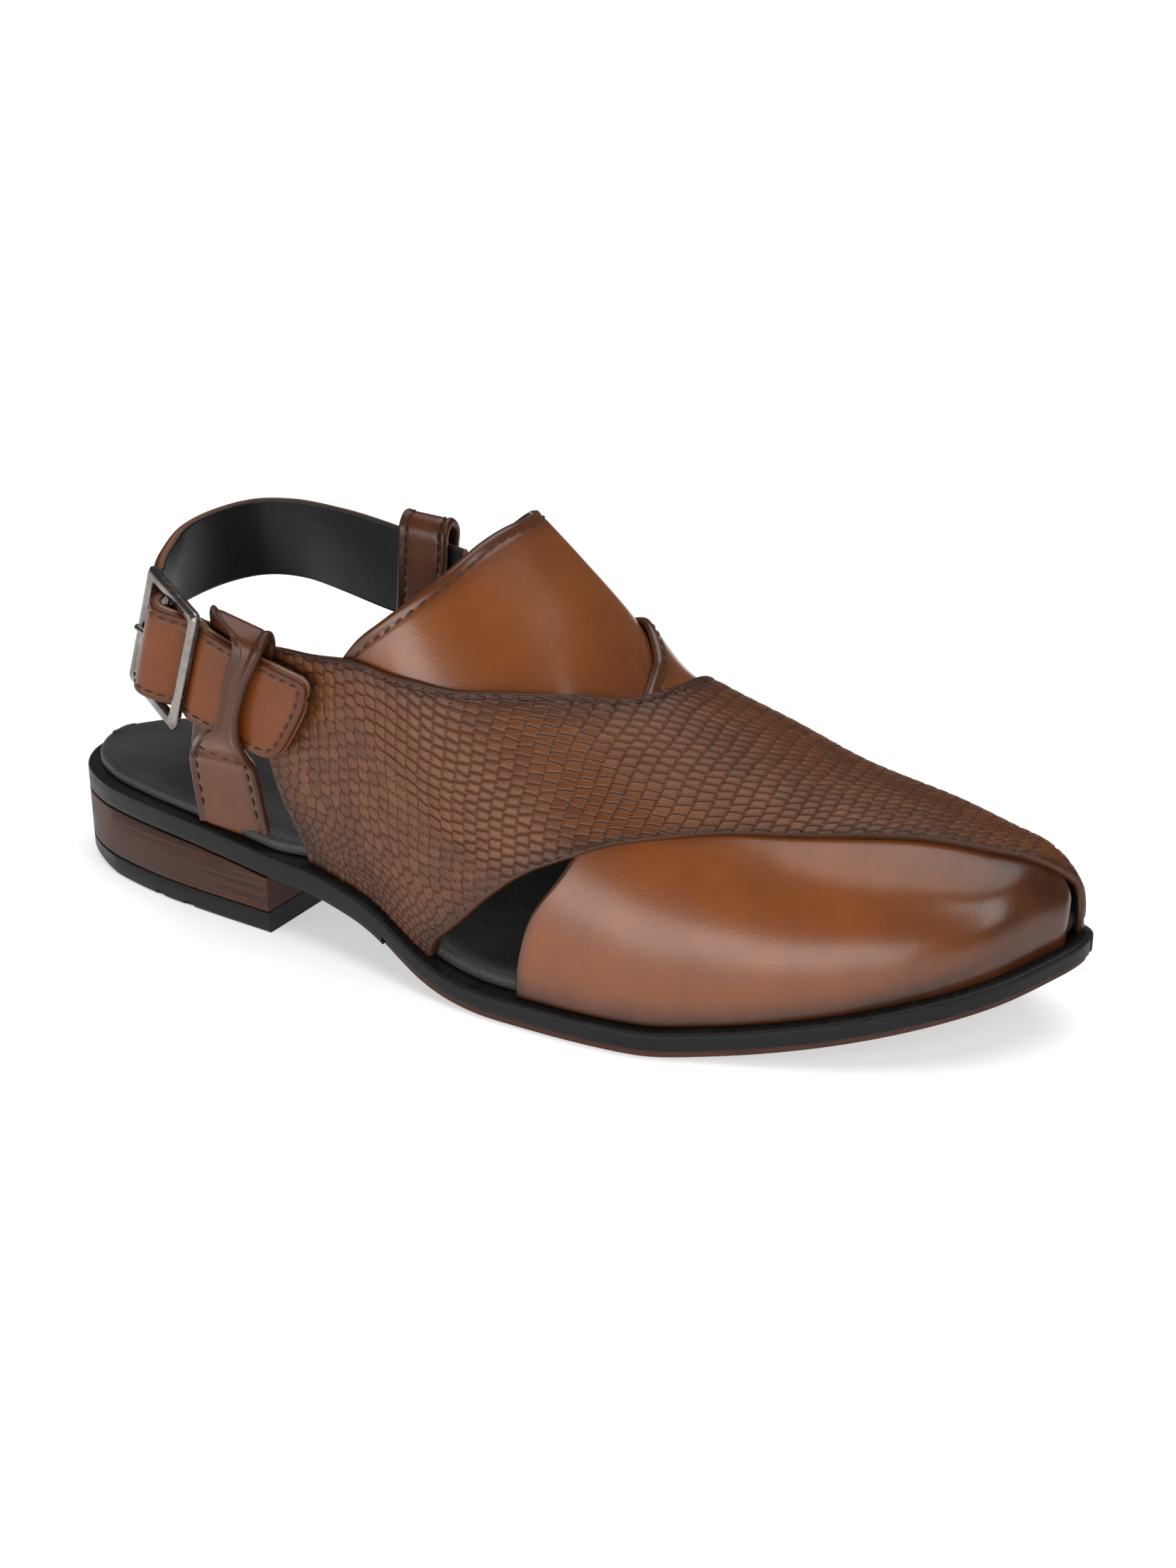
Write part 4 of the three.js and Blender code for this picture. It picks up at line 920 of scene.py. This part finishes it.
sole_places = np.concatenate([
    stations(END_FLAT, shoulder - 0.01, 110),
    stations(shoulder + 0.01, SOLE_LENGTH - END_FLAT, 130),
])
sole_rings = layer_points(sole_places, sole_underside, band_top, RIM)
add_layer("sole_unit", sole_rings, RUBBER, "sole", "rubber", 6)
add_layer(
    "tread_sheet",
    layer_points(
        stations(OUTSOLE_START, SOLE_LENGTH - END_FLAT, 130),
        band_bottom,
        lambda x: band_bottom(x) + OUTSOLE_THICKNESS,
        PLAIN,
        OUTSOLE_INSET,
    ),
    TREAD, "outsole", "outsole", 6,
)
add_layer(
    "heel_layers",
    layer_points(
        stations(END_FLAT, HEEL_LENGTH, 120),
        lambda x: LIFT_THICKNESS + CLEARANCE + 0 * x,
        lambda x: band_bottom(x) - CLEARANCE,
        STACK_SIDE,
    ),
    STACK, "heel_stack", "stack", 2,
)


def lift_bottom(x):
    return LIFT_BEVEL_HEIGHT * np.clip(1 - x / LIFT_BEVEL_LENGTH, 0, None)


lift_places = np.concatenate([
    stations(END_FLAT, LIFT_BEVEL_LENGTH, 50),
    stations(LIFT_BEVEL_LENGTH, HEEL_LENGTH, 50)[1:],
])
heel_top = add_layer(
    "heel_top_piece",
    layer_points(
        lift_places,
        lift_bottom,
        lambda x: LIFT_THICKNESS + 0 * x,
        LIFT_SIDE,
    ),
    RUBBER, "heel_lift", "rubber", 2,
)


# Padded footbed
UPPER_START = SCALED_STRAP[0, 0] * SOLE_LENGTH
STRAP_LEDGE = UPPER_LEDGE + LEATHER + CLEARANCE


def footbed_ledge(x):
    return FOOTBED_LEDGE + (STRAP_LEDGE - FOOTBED_LEDGE) * smooth_step(x, UPPER_START - 14, UPPER_START - 1)


pad_rings = layer_points(
    stations(END_FLAT, SOLE_LENGTH - END_FLAT, 260),
    lambda x: band_top(x) + CLEARANCE,
    lambda x: band_top(x) + CLEARANCE + FOOTBED_THICKNESS,
    PAD_SIDE,
    footbed_ledge,
)
footbed_piece = add_layer("footbed_pad", pad_rings, FOOTBED, "insole", "footbed", 40, 80)


CREASES = 46


def settle_pad(piece):
    """Soft crown, a worn hollow under the heel and fine creases in the padded top."""
    count = len(piece.data.vertices)
    places = np.empty(count * 3, np.float32)
    piece.data.vertices.foreach_get("co", places)
    places = places.reshape(-1, 3) / MM - SHIFT
    x, y, z = places.T
    on_top = smooth_step(z - band_top(x) - CLEARANCE, 0.55 * FOOTBED_THICKNESS, FOOTBED_THICKNESS)
    inner, outer = sole_side(x, 2), sole_side(x, 1)
    across = (y - (inner + outer) / 2) / ((inner - outer) / 2)
    relief = 0.35 * (1 - across**2) - 0.5 * bump_at(x - 45, 26) * bump_at(across, 0.5)
    for _ in range(CREASES):
        start = np.array([rng.uniform(4, 150), rng.uniform(-36, 34)])
        heading = rng.normal(0.5 * pi, 0.5)
        run = np.array([np.cos(heading), np.sin(heading)])
        away = np.stack([x, y], -1) - start
        along, aside = away @ run, away @ np.array([-run[1], run[0]])
        aside = aside + 0.8 * np.sin(along * rng.uniform(0.15, 0.4))
        relief -= rng.uniform(0.08, 0.22) * bump_at(aside, 0.7) * bump_at(along, rng.uniform(5, 13))
    places[:, 2] += on_top * (relief - 0.35)
    piece.data.vertices.foreach_set("co", ((places + SHIFT) * MM).astype(np.float32).ravel())


settle_pad(footbed_piece)


# Heel strap through the buckle
BUCKLE = (
    Matrix.Translation(Vector(BUCKLE_CENTRE))
    @ Matrix.Rotation(radians(BUCKLE_TURN), 4, "Z")
    @ Matrix.Rotation(radians(90), 4, "X")
    @ Matrix.Rotation(radians(BUCKLE_DIP), 4, "Z")
    @ Matrix.Rotation(radians(BUCKLE_LEAN), 4, "X")
)
BUCKLE_AXES = np.array(BUCKLE.to_3x3())
BUCKLE_UP = BUCKLE_AXES[:, 1]
HALF_LENGTH = BUCKLE_LENGTH / 2
HALF_HEIGHT = BUCKLE_HEIGHT / 2
RING_INNER = CENTRE_BAR_RADIUS + CLEARANCE
RING_OUTER = RING_INNER + CARRIER_THICKNESS
WINDOW_EDGE = HALF_LENGTH - BUCKLE_BAR
UNDER_BAR = -(BUCKLE_THICKNESS / 2 + 2 * CLEARANCE + STRAP_THICKNESS / 2)
OVER_BAR = RING_OUTER + CLEARANCE + STRAP_THICKNESS / 2
STRAP_WEAVE = np.array([
    (-HALF_LENGTH, UNDER_BAR), (-0.9 * WINDOW_EDGE, UNDER_BAR), (-0.45 * WINDOW_EDGE, 0.3 * OVER_BAR),
    (-0.18 * WINDOW_EDGE, 0.9 * OVER_BAR), (0.05 * WINDOW_EDGE, 1.02 * OVER_BAR),
    (0.28 * WINDOW_EDGE, 0.75 * OVER_BAR), (0.52 * WINDOW_EDGE, 0.1 * OVER_BAR),
    (0.85 * WINDOW_EDGE, 1.03 * UNDER_BAR), (HALF_LENGTH, 1.05 * UNDER_BAR),
])


def in_buckle(points):
    return BUCKLE_CENTRE + np.asarray(points, float) @ BUCKLE_AXES.T


def centripetal(points, steps=24):
    """Centripetal curve through points, sampled evenly along its length."""
    points = np.concatenate([[2 * points[0] - points[1]], points, [2 * points[-1] - points[-2]]])
    line = []
    for p0, p1, p2, p3 in zip(points, points[1:], points[2:], points[3:]):
        gaps = [max(np.linalg.norm(b - a) ** 0.5, 1e-4) for a, b in ((p0, p1), (p1, p2), (p2, p3))]
        start = (p1 - p0) / gaps[0] - (p2 - p0) / (gaps[0] + gaps[1]) + (p2 - p1) / gaps[1]
        end = (p2 - p1) / gaps[1] - (p3 - p1) / (gaps[1] + gaps[2]) + (p3 - p2) / gaps[2]
        t = np.linspace(0, 1, steps, endpoint=False)[:, None]
        start, end = start * gaps[1], end * gaps[1]
        rest = (2 * p1 - 2 * p2 + start + end) * t**3 + (3 * p2 - 3 * p1 - 2 * start - end) * t**2
        line.append(rest + start * t + p1)
    line.append(points[-2:-1])
    return np.concatenate(line)


def line_at(line, at):
    """Points of a line at distances walked along it."""
    return between(at, lengths_along(line, 0), line)


weave = in_buckle(np.stack([STRAP_WEAVE[:, 0], 0 * STRAP_WEAVE[:, 0], STRAP_WEAVE[:, 1]], -1))
strap_line = centripetal(np.concatenate([over_seat(STRAP_ROUND_HEEL), weave, over_seat(STRAP_TAIL)]))


def strap_frames(line):
    along = unit(np.gradient(line, axis=0))
    away = np.linalg.norm(line - BUCKLE_CENTRE, axis=1)[:, None]
    gone = smooth_step(away / BUCKLE_LENGTH, TWIST_START, TWIST_END)
    across = BUCKLE_UP * (1 - gone) + np.array([0, 0, 1]) * gone
    across = unit(across - along * (across * along).sum(1, keepdims=True))
    round_heel = 1 - smooth_step(line[:, :1] / SOLE_LENGTH, LEAN_START, LEAN_END)
    across = unit(across - STRAP_LEAN * gone * round_heel * np.cross(along, across))
    return across, np.cross(along, across)


TIP_RUN = STRAP_TIP[-1, 0] * STRAP_WIDTH
strap_length = lengths_along(strap_line, 0)[-1]
TIP_SAMPLES = TIP_RUN * np.linspace(1, 0.002, 50) ** 1.6
spine_walk = np.concatenate([np.linspace(0, strap_length - TIP_RUN, 430)[:-1], strap_length - TIP_SAMPLES])
spine = line_at(strap_line, spine_walk)
spine_up, spine_out = strap_frames(spine)
from_tip = strap_length - spine_walk
away_from_buckle = np.linalg.norm(spine - BUCKLE_CENTRE, axis=1) / BUCKLE_LENGTH
prong_at = np.argmin(np.linalg.norm(spine - in_buckle([-WINDOW_EDGE / 2, 0, 0]), axis=1))
before_buckle = np.arange(len(spine)) < prong_at
narrow = smooth_step(away_from_buckle, TWIST_START, TWIST_END) * before_buckle
strap_half = (STRAP_WIDTH + (STRAP_HEEL_WIDTH - STRAP_WIDTH) * narrow) / 2
tip_upper, tip_lower = (through(STRAP_TIP[:, 0], STRAP_TIP[:, k], from_tip / STRAP_WIDTH) for k in (1, 2))
strap_upper, strap_lower = strap_half * tip_upper, strap_half * tip_lower

# Round the strap: side, millimetres in from its edge, depth under the outer face. The tan leather
# is rolled at its edges, and the lining under it is cut a little wider.
ROLLED_EDGE = [
    (-0.25, -3.0), (-0.3, -2.7), (-0.25, -2.1), (0.05, -1.95), (0, -1.3), (0.06, -0.8), (0.3, -0.38),
    (0.7, -0.1), (1.15, 0),
]
FACE_SHARES = np.linspace(-1, 1, 41)[1:-1]
STRAP_SECTION = (
    [(-1, gap, depth) for gap, depth in ROLLED_EDGE]
    + [(share, 1.15, 0) for share in FACE_SHARES]
    + [(1, gap, depth) for gap, depth in ROLLED_EDGE[::-1]]
    + [(share, 0.4, -STRAP_THICKNESS) for share in np.linspace(1, -1, 11)]
)


TIP_ROWS = 90  # rows of the strap that take in its slanted end


def tip_distance(back, off):
    """Distance of a spot on the strap to its nearest edge, the slanted end included."""
    straight = np.minimum(np.interp(back, from_tip[::-1], strap_upper[::-1]) - off,
                          off - np.interp(back, from_tip[::-1], strap_lower[::-1]))
    border = from_tip[-TIP_ROWS:]
    corners = np.concatenate([
        np.stack([border, strap_upper[-TIP_ROWS:]], -1),
        np.stack([border, strap_lower[-TIP_ROWS:]], -1),
        np.stack([np.zeros(9), np.linspace(strap_lower[-1], strap_upper[-1], 9)], -1),
    ])
    near = back < border[0] - 4
    distance = straight.copy()
    spots = np.stack([back[near], off[near]], -1)
    distance[near] = np.linalg.norm(spots[:, None] - corners[None], axis=-1).min(1)
    return np.minimum(distance, np.maximum(straight, 0))


def strap_relief(back, off, depth):
    """Domed face with a stitch channel all along the edge."""
    edge = tip_distance(back, off)
    dome = 0.16 * (1 - (off / (STRAP_WIDTH / 2)) ** 2) - 0.14
    face = dome + 0.12 * bump_at(edge - 1.2, 0.8) - 0.22 * bump_at(edge - STITCH_IN, 0.45)
    return np.where(depth == 0, face, 0), edge


section_side, section_gap, section_depth = np.array(STRAP_SECTION).T
middle = (strap_upper + strap_lower)[:, None] / 2
half_span = (strap_upper - strap_lower)[:, None] / 2
gap = section_gap * np.clip(half_span / 4, 0, 1)
off_grid = middle + section_side * (half_span - gap)
back_grid = from_tip[:, None] + 0 * off_grid
relief, edge_grid = strap_relief(back_grid, off_grid, section_depth[None] + 0 * off_grid)
height_grid = STRAP_THICKNESS / 2 + section_depth[None] + relief
strap_points = (
    spine[:, None] + spine_up[:, None] * off_grid[..., None] + spine_out[:, None] * height_grid[..., None]
)


depth_row = -section_depth[None] + 0 * off_grid
heel_strap = add_mesh(
    "heel_strap_band", strap_points.reshape(-1, 3), closed_tube(*off_grid.shape),
    STRAP, "heel_strap", "tan",
    burn=np.clip(0.7 * bump_at(edge_grid, 2.4), 0, 1) * (depth_row < 0.9),
    core=smooth_step(depth_row, 1.2, 1.5) * (1 - smooth_step(depth_row, 2.4, 2.8)),
    lined=smooth_step(depth_row, 2.3, 2.8),
)


def punch(piece, middles, axes, radius, length):
    """Round holes through a piece."""
    cutters = []
    for middle, axis in zip(middles, axes):
        line = np.asarray(middle) + np.outer([-length / 2, length / 2], unit(np.asarray(axis)))
        points = rod_points(line, radius, around=24)
        mesh = bpy.data.meshes.new("punch")
        mesh.from_pydata(((points.reshape(-1, 3) + SHIFT) * MM).tolist(), [], closed_tube(2, 24, flip=True))
        cutters.append(bpy.data.objects.new("punch", mesh))
        bpy.context.collection.objects.link(cutters[-1])
        cut = piece.modifiers.new("hole", "BOOLEAN")
        cut.operation = "DIFFERENCE"
        cut.object = cutters[-1]
    shaped = bpy.data.meshes.new_from_object(piece.evaluated_get(bpy.context.evaluated_depsgraph_get()))
    piece.modifiers.clear()
    piece.data = shaped
    for cutter in cutters:
        bpy.data.objects.remove(cutter)


def rod_points(line, radius, around=16):
    """Rings of a round rod along a line."""
    line = np.asarray(line, float)
    along = unit(np.gradient(line, axis=0))
    side = unit(np.cross(along, [0.02, 0.03, 1.0] if abs(along[0, 2]) < 0.9 else [1.0, 0, 0]))
    up = np.cross(side, along)
    angles = np.linspace(0, 2 * pi, around + 1)[:-1]
    angles = angles[None, :, None]
    ring = side[:, None] * np.cos(angles) + up[:, None] * np.sin(angles)
    return line[:, None] + ring * np.broadcast_to(radius, len(line))[:, None, None]


NICKS = (0.153 * SOLE_LENGTH, 0.193 * SOLE_LENGTH)
NICK_RADIUS, NICK_LOW = 2.2, 0.6
nick_middles = [(x, sole_side(x, 1), -NICK_LOW) for x in NICKS]
punch(heel_top, nick_middles, [(0, 1, 0)] * len(NICKS), NICK_RADIUS, 2)
hole_walks = [spine_walk[prong_at]] + [spine_walk[prong_at] - back for back in SPARE_HOLES]
hole_at = [int(np.argmin(np.abs(spine_walk - walk))) for walk in hole_walks]
punch(heel_strap, spine[hole_at], spine_out[hole_at], HOLE_RADIUS, 9)


STRAP_PITCH = 3.4
STRAP_SEAM_RISE = 0.1


def strap_stitches():
    """One row of stitches down the lower edge, round the tip and back along the upper edge."""
    keep = slice(6, None)
    lower = np.stack([from_tip[keep], strap_lower[keep]], -1)
    upper = np.stack([from_tip[keep], strap_upper[keep]], -1)[::-1]
    outline = np.concatenate([lower, upper])
    run = unit(np.gradient(outline, axis=0))
    inward = np.stack([run[:, 1], -run[:, 0]], -1)
    path = outline + STITCH_IN * inward
    clear = tip_distance(path[:, 0], path[:, 1]) > 0.94 * STITCH_IN
    back, off = path[clear].T
    walk = strap_length - back
    place, up, out = (between(walk, spine_walk, values) for values in (spine, spine_up, spine_out))
    face = strap_relief(back, off, 0 * off)[0]
    line = place + up * off[:, None] + out * (STRAP_THICKNESS / 2 + face + STRAP_SEAM_RISE)[:, None]
    stitches("heel_strap_stitches", line, out, "heel_strap", "tan", STRAP_PITCH)


strap_stitches()


# Posts: a band of leather from foot to foot over a fold
def post_rows(table, count):
    scale = np.array([BALL_WIDTH, INSTEP_HEIGHT, SOLE_LENGTH, SOLE_LENGTH, INSTEP_HEIGHT])
    rows = table * scale + np.array([0, SEAT, 0, 0, 0])
    line = centripetal(np.stack([0 * rows[:, 0], rows[:, 0], rows[:, 1]], -1))
    walked = lengths_along(line, 0)
    at = np.linspace(0, walked[-1], count)
    spots = [walked[np.argmin(np.linalg.norm(line[:, 1:] - row[:2], axis=1))] for row in rows]
    places = np.maximum.accumulate(np.array(spots) + np.arange(len(rows)) * 1e-6)
    edges = [through(places, rows[:, column], at) for column in (2, 3, 4)]
    return between(at, walked, line[:, 1:]), *edges


POST_THICKNESS = 2.0
POST_STITCH_IN = 2.7
POST_PITCH = 3.2
KEEPER_END = (60, 48)  # rows of the outer post under the two ends of its cross stitches
POST_RIM = np.array([0, 0.003, 0.012, 0.025, 0.04, 0.06, 0.08, 0.1, 0.12, 0.14, 0.16, 0.185, 0.21])
POST_SHARES = np.concatenate([POST_RIM, np.linspace(0.24, 0.76, 14), 1 - POST_RIM[::-1]])


def add_post(name, table, node, flip):
    """Band with a rolled, beaded rim on its shown face, -1; gives the rows that its stitches follow."""
    middle, rear, front, slope = post_rows(table, 260)
    along = unit(np.gradient(middle, axis=0))
    off = np.stack([-along[:, 1], along[:, 0]], -1) * (-1 if flip else 1)
    ring, masks = [], []
    for face, order in ((1, POST_SHARES), (-1, POST_SHARES[::-1])):
        for share in order:
            edge = np.minimum(share, 1 - share) * (front - rear)
            rolled = np.clip(1 - edge, 0, 1)
            lift = POST_THICKNESS / 2 - (1 - np.sqrt(1 - 0.999 * rolled**2))
            if face < 0:
                lift = lift + 0.35 * bump_at(edge - 1.1, 0.8) - 0.25 * bump_at(edge - POST_STITCH_IN, 0.5)
            across = middle[:, 0] + face * lift * off[:, 0]
            up = middle[:, 1] + slope * (0.5 - share) + face * lift * off[:, 1]
            ring.append(np.stack([rear + (front - rear) * share, across, up], -1))
            masks.append(np.clip(0.8 * bump_at(edge, 4.0), 0, 1))
    points = np.stack(ring, 1)
    faces = closed_tube(*points.shape[:2], flip=flip)
    add_mesh(name, points.reshape(-1, 3), faces, TAN_DARK, node, "tan", burn=np.stack(masks, 1))
    return middle, rear, front, slope, off


def post_stitches(name, post, node, run, rear_side):
    """Stitches along one side of a post, over a run given as shares of its length."""
    middle, rear, front, slope, off = post
    x = rear + POST_STITCH_IN if rear_side else front - POST_STITCH_IN
    rise = slope * (0.5 - (x - rear) / (front - rear))
    line = np.stack([x, middle[:, 0] - off[:, 0], middle[:, 1] + rise - off[:, 1]], -1)
    out = np.stack([0 * x, -off[:, 0], -off[:, 1]], -1)
    part = slice(*(int(share * len(x)) for share in run))
    stitches(name, line[part], out[part], node, "tan", POST_PITCH)


outer_post = add_post("outer_post", OUTER_POST, "lateral_post", True)
inner_post = add_post("inner_post", INNER_POST, "medial_post", False)
for name, post, node, run in (
    ("outer_post_outer_leg", outer_post, "lateral_post", (0.04, 0.19)),
    ("outer_post_inner_leg", outer_post, "lateral_post", (0.62, 0.96)),
    ("inner_post", inner_post, "medial_post", (0.06, 0.97)),
):
    for side in ("rear", "front"):
        post_stitches("%s_%s_stitches" % (name, side), post, node, run, side == "rear")


def keeper_seam(name, post, start, end):
    """Stitches across the outer leg, where the keeper's end is sewn down under the strap."""
    middle, rear, front, slope, off = post
    share = np.linspace(0.1, 0.86, 40)
    at = start + (end - start) * smooth_step(share, 0.1, 0.86)
    order = np.arange(len(rear))
    x = np.interp(at, order, rear) + share * np.interp(at, order, front - rear)
    out = between(at, order, off)
    across = np.interp(at, order, middle[:, 0]) - out[:, 0]
    rise = np.interp(at, order, middle[:, 1] - off[:, 1]) + np.interp(at, order, slope) * (0.5 - share)
    out = np.stack([0 * x, -out[:, 0], -out[:, 1]], -1)
    stitches(name, np.stack([x, across, rise], -1), out, "lateral_post", "tan", POST_PITCH)


keeper_seam("outer_post_cross_stitches", outer_post, *KEEPER_END)


# Buckle
def rounded_outline(half_x, half_y, radius, rise):
    """Ring of a rounded rectangle at a height."""
    ring = []
    for index, (sx, sy) in enumerate(((1, 1), (-1, 1), (-1, -1), (1, -1))):
        for angle in np.radians(np.linspace(90 * index, 90 * index + 90, 6)):
            x = sx * (half_x - radius) + radius * np.cos(angle)
            ring.append((x, sy * (half_y - radius) + radius * np.sin(angle), rise))
    return np.array(ring)


# Bevelled section of the rim: height, and millimetres in from the outside or from the window
half_thick = BUCKLE_THICKNESS / 2
RIM_OUTSIDE = [
    (-half_thick, 0.5), (-half_thick + 0.4, 0.05), (0, 0), (half_thick - 0.75, 0),
    (half_thick - 0.6, 0.06), (half_thick - 0.08, 0.8), (half_thick, 1.0),
]
RIM_WINDOW = [
    (half_thick, 0.75), (half_thick - 0.06, 0.6), (half_thick - 0.5, 0.05), (half_thick - 0.65, 0),
    (0, 0), (-half_thick + 0.4, 0.05), (-half_thick, 0.4),
]
profile = [
    rounded_outline(HALF_LENGTH - inset, HALF_HEIGHT - inset, 2.0 - 0.5 * inset, rise)
    for rise, inset in RIM_OUTSIDE
]
profile += [
    rounded_outline(WINDOW_EDGE + inset, HALF_HEIGHT - BUCKLE_BAR + inset, 1.0, rise)
    for rise, inset in RIM_WINDOW
]
rings = np.stack(profile, 0)
count, around = rings.shape[:2]
faces = grid_faces(count, around, closed=True)
faces += [
    ((count - 1) * around + c, (count - 1) * around + (c + 1) % around, (c + 1) % around, c)
    for c in range(around)
]
rim_points = in_buckle(rings.reshape(-1, 3))
rim = add_mesh("buckle_rim", rim_points, faces, NICKEL, "buckle_frame", "metal")
rim.data.set_sharp_from_angle(angle=radians(28))


def add_rod(name, line, radius, node):
    points = rod_points(line, radius)
    faces = closed_tube(*points.shape[:2], flip=True)
    add_mesh(name, in_buckle(points.reshape(-1, 3)), faces, NICKEL, node, "metal")


bar_reach = HALF_HEIGHT - BUCKLE_BAR / 2
bar_line = np.stack([np.zeros(20), np.linspace(-bar_reach, bar_reach, 20), np.zeros(20)], -1)
add_rod("centre_bar", bar_line, CENTRE_BAR_RADIUS, "buckle_frame")

PRONG_LOOP_HALF = 0.9
PRONG_OVERHANG = 2.4  # from the rim's outer edge to the prong's tip
prong_middle = (RING_INNER + RING_OUTER) / 2
loop = []
for angle in np.linspace(0, 2 * pi, 33)[:-1]:
    for radius, half in ((RING_INNER, -1), (RING_OUTER, -1), (RING_OUTER, 1), (RING_INNER, 1)):
        loop.append((radius * np.cos(angle), half * PRONG_LOOP_HALF, radius * np.sin(angle)))
loop_faces = [tuple(v % len(loop) for v in face) for face in grid_faces(33, 4, closed=True)]
add_mesh("prong_loop", in_buckle(loop), loop_faces, NICKEL, "buckle_prong", "metal")
rod_start = np.array([-prong_middle, 0, 0])
rod_edge = np.array([-WINDOW_EDGE, 0, half_thick + PRONG_RADIUS + CLEARANCE])
prong_reach = HALF_LENGTH - prong_middle - PRONG_OVERHANG
rod_tip = rod_start + (rod_edge - rod_start) * prong_reach / (WINDOW_EDGE - prong_middle)
shares = np.linspace(0, 1, 24)
prong_line = rod_start + (rod_tip - rod_start) * shares[:, None]
prong_radius = PRONG_RADIUS * np.sqrt(1 - np.clip((shares - 0.93) / 0.075, 0, 0.99) ** 2)
add_rod("prong", prong_line, prong_radius, "buckle_prong")

# Loop of leather that holds the buckle, and its section: side, height from its outer face
tail = CARRIER_TAIL[::-1] * HALF_LENGTH
wrap = np.radians(np.linspace(20, 325, 30))
carrier_path = np.concatenate([tail, prong_middle * np.stack([np.cos(wrap), np.sin(wrap)], -1)])
CARRIER_SECTION = (
    [(-1, 0.3 - CARRIER_THICKNESS), (-1, -0.3), (-0.97, 0)]
    + [(side, 0) for side in np.linspace(-0.9, 0.9, 13)]
    + [(0.97, 0), (1, -0.3), (1, 0.3 - CARRIER_THICKNESS)]
    + [(0.97, -CARRIER_THICKNESS), (-0.97, -CARRIER_THICKNESS)]
)
carrier_line = np.stack([carrier_path[:, 0], 0 * carrier_path[:, 0], carrier_path[:, 1]], -1)
carrier_line = centripetal(carrier_line, 8)
carrier_length = lengths_along(carrier_line, 0)[-1]
carrier_line = line_at(carrier_line, np.linspace(0, carrier_length - 0.001, 70))
carrier_up = np.broadcast_to(np.array([0, 1.0, 0]), carrier_line.shape)
carrier_out = np.cross(carrier_up, unit(np.gradient(carrier_line, axis=0)))
carrier_points = np.stack([
    carrier_line + carrier_up * (side * (CARRIER_WIDTH / 2)) + carrier_out * (CARRIER_THICKNESS / 2 + depth)
    for side, depth in CARRIER_SECTION
], 1)
carrier_burn = [
    0.7 * bump_at((1 - abs(side)) * CARRIER_WIDTH / 2, 2.2) for side, _ in CARRIER_SECTION
]
add_mesh(
    "carrier", in_buckle(carrier_points.reshape(-1, 3)), closed_tube(*carrier_points.shape[:2], flip=True),
    TAN_DARK, "buckle_carrier", "tan",
    burn=np.broadcast_to(carrier_burn, carrier_points.shape[:2]),
)

# Room, light and camera
floor_finish = Finish("studio_floor", Roughness=0.6, Specular_IOR_Level=0.2, Emission_Strength=0.5)
floor_finish.shader.inputs["Emission Color"].default_value = (1, 1, 1, 1)
floor_finish.shader.inputs["Base Color"].default_value = (0.86, 0.86, 0.87, 1)
bpy.ops.mesh.primitive_plane_add(size=8)
floor = bpy.context.object
floor.name = "studio_floor"
floor.data.materials.append(floor_finish.material)

world = bpy.data.worlds.new("studio")
bpy.context.scene.world = world
bpy.context.scene.view_settings.view_transform = "Standard"
world.use_nodes = True
air = world.node_tree
backdrop = air.nodes["Background"]
backdrop.inputs["Color"].default_value = (1, 1, 1, 1)
seen = air.nodes.new("ShaderNodeMapRange")
seen.inputs["To Min"].default_value = 0.12
seen.inputs["To Max"].default_value = 1.0
air.links.new(air.nodes.new("ShaderNodeLightPath").outputs["Is Camera Ray"], seen.inputs["Value"])
air.links.new(seen.outputs["Result"], backdrop.inputs["Strength"])


def softbox(name, place, target, width, height, power):
    light = bpy.data.lights.new(name, "AREA")
    light.shape = "RECTANGLE"
    light.size, light.size_y = width, height
    light.energy = power
    lamp = bpy.data.objects.new(name, light)
    lamp.location = place
    lamp.rotation_euler = (Vector(target) - Vector(place)).to_track_quat("-Z", "Y").to_euler()
    bpy.context.collection.objects.link(lamp)


overhead = bpy.data.lights.new("overhead", "SUN")
overhead.energy = 1.75
overhead.angle = radians(60)
overhead_lamp = bpy.data.objects.new("overhead", overhead)
overhead_lamp.rotation_euler = (radians(-7), 0, 0)
bpy.context.collection.objects.link(overhead_lamp)
softbox("front_low", (0.05, -1.15, 0.2), (0, 0, 0.03), 2.0, 0.36, 10)
softbox("right", (1.1, -0.4, 0.75), (0.1, 0, 0.03), 0.3, 0.8, 3.5)

CAMERA_PLACE = Vector((0.261296, -0.443203, 0.248043))
CAMERA_TURN, CAMERA_RISE = 28.711, 21.701
turn, rise = radians(CAMERA_TURN), radians(CAMERA_RISE)
back = Vector((sin(turn) * cos(rise), -cos(turn) * cos(rise), sin(rise)))
right = Vector((cos(turn), sin(turn), 0))
up = back.cross(right)
view = bpy.data.cameras.new("photo_view")
view.lens = 47.5
view.sensor_width = 36
view.sensor_fit = "AUTO"
camera = bpy.data.objects.new("photo_view", view)
axes = Matrix((right, up, back)).transposed().to_4x4()
camera.matrix_world = Matrix.Translation(CAMERA_PLACE) @ axes
bpy.context.collection.objects.link(camera)
bpy.context.scene.camera = camera
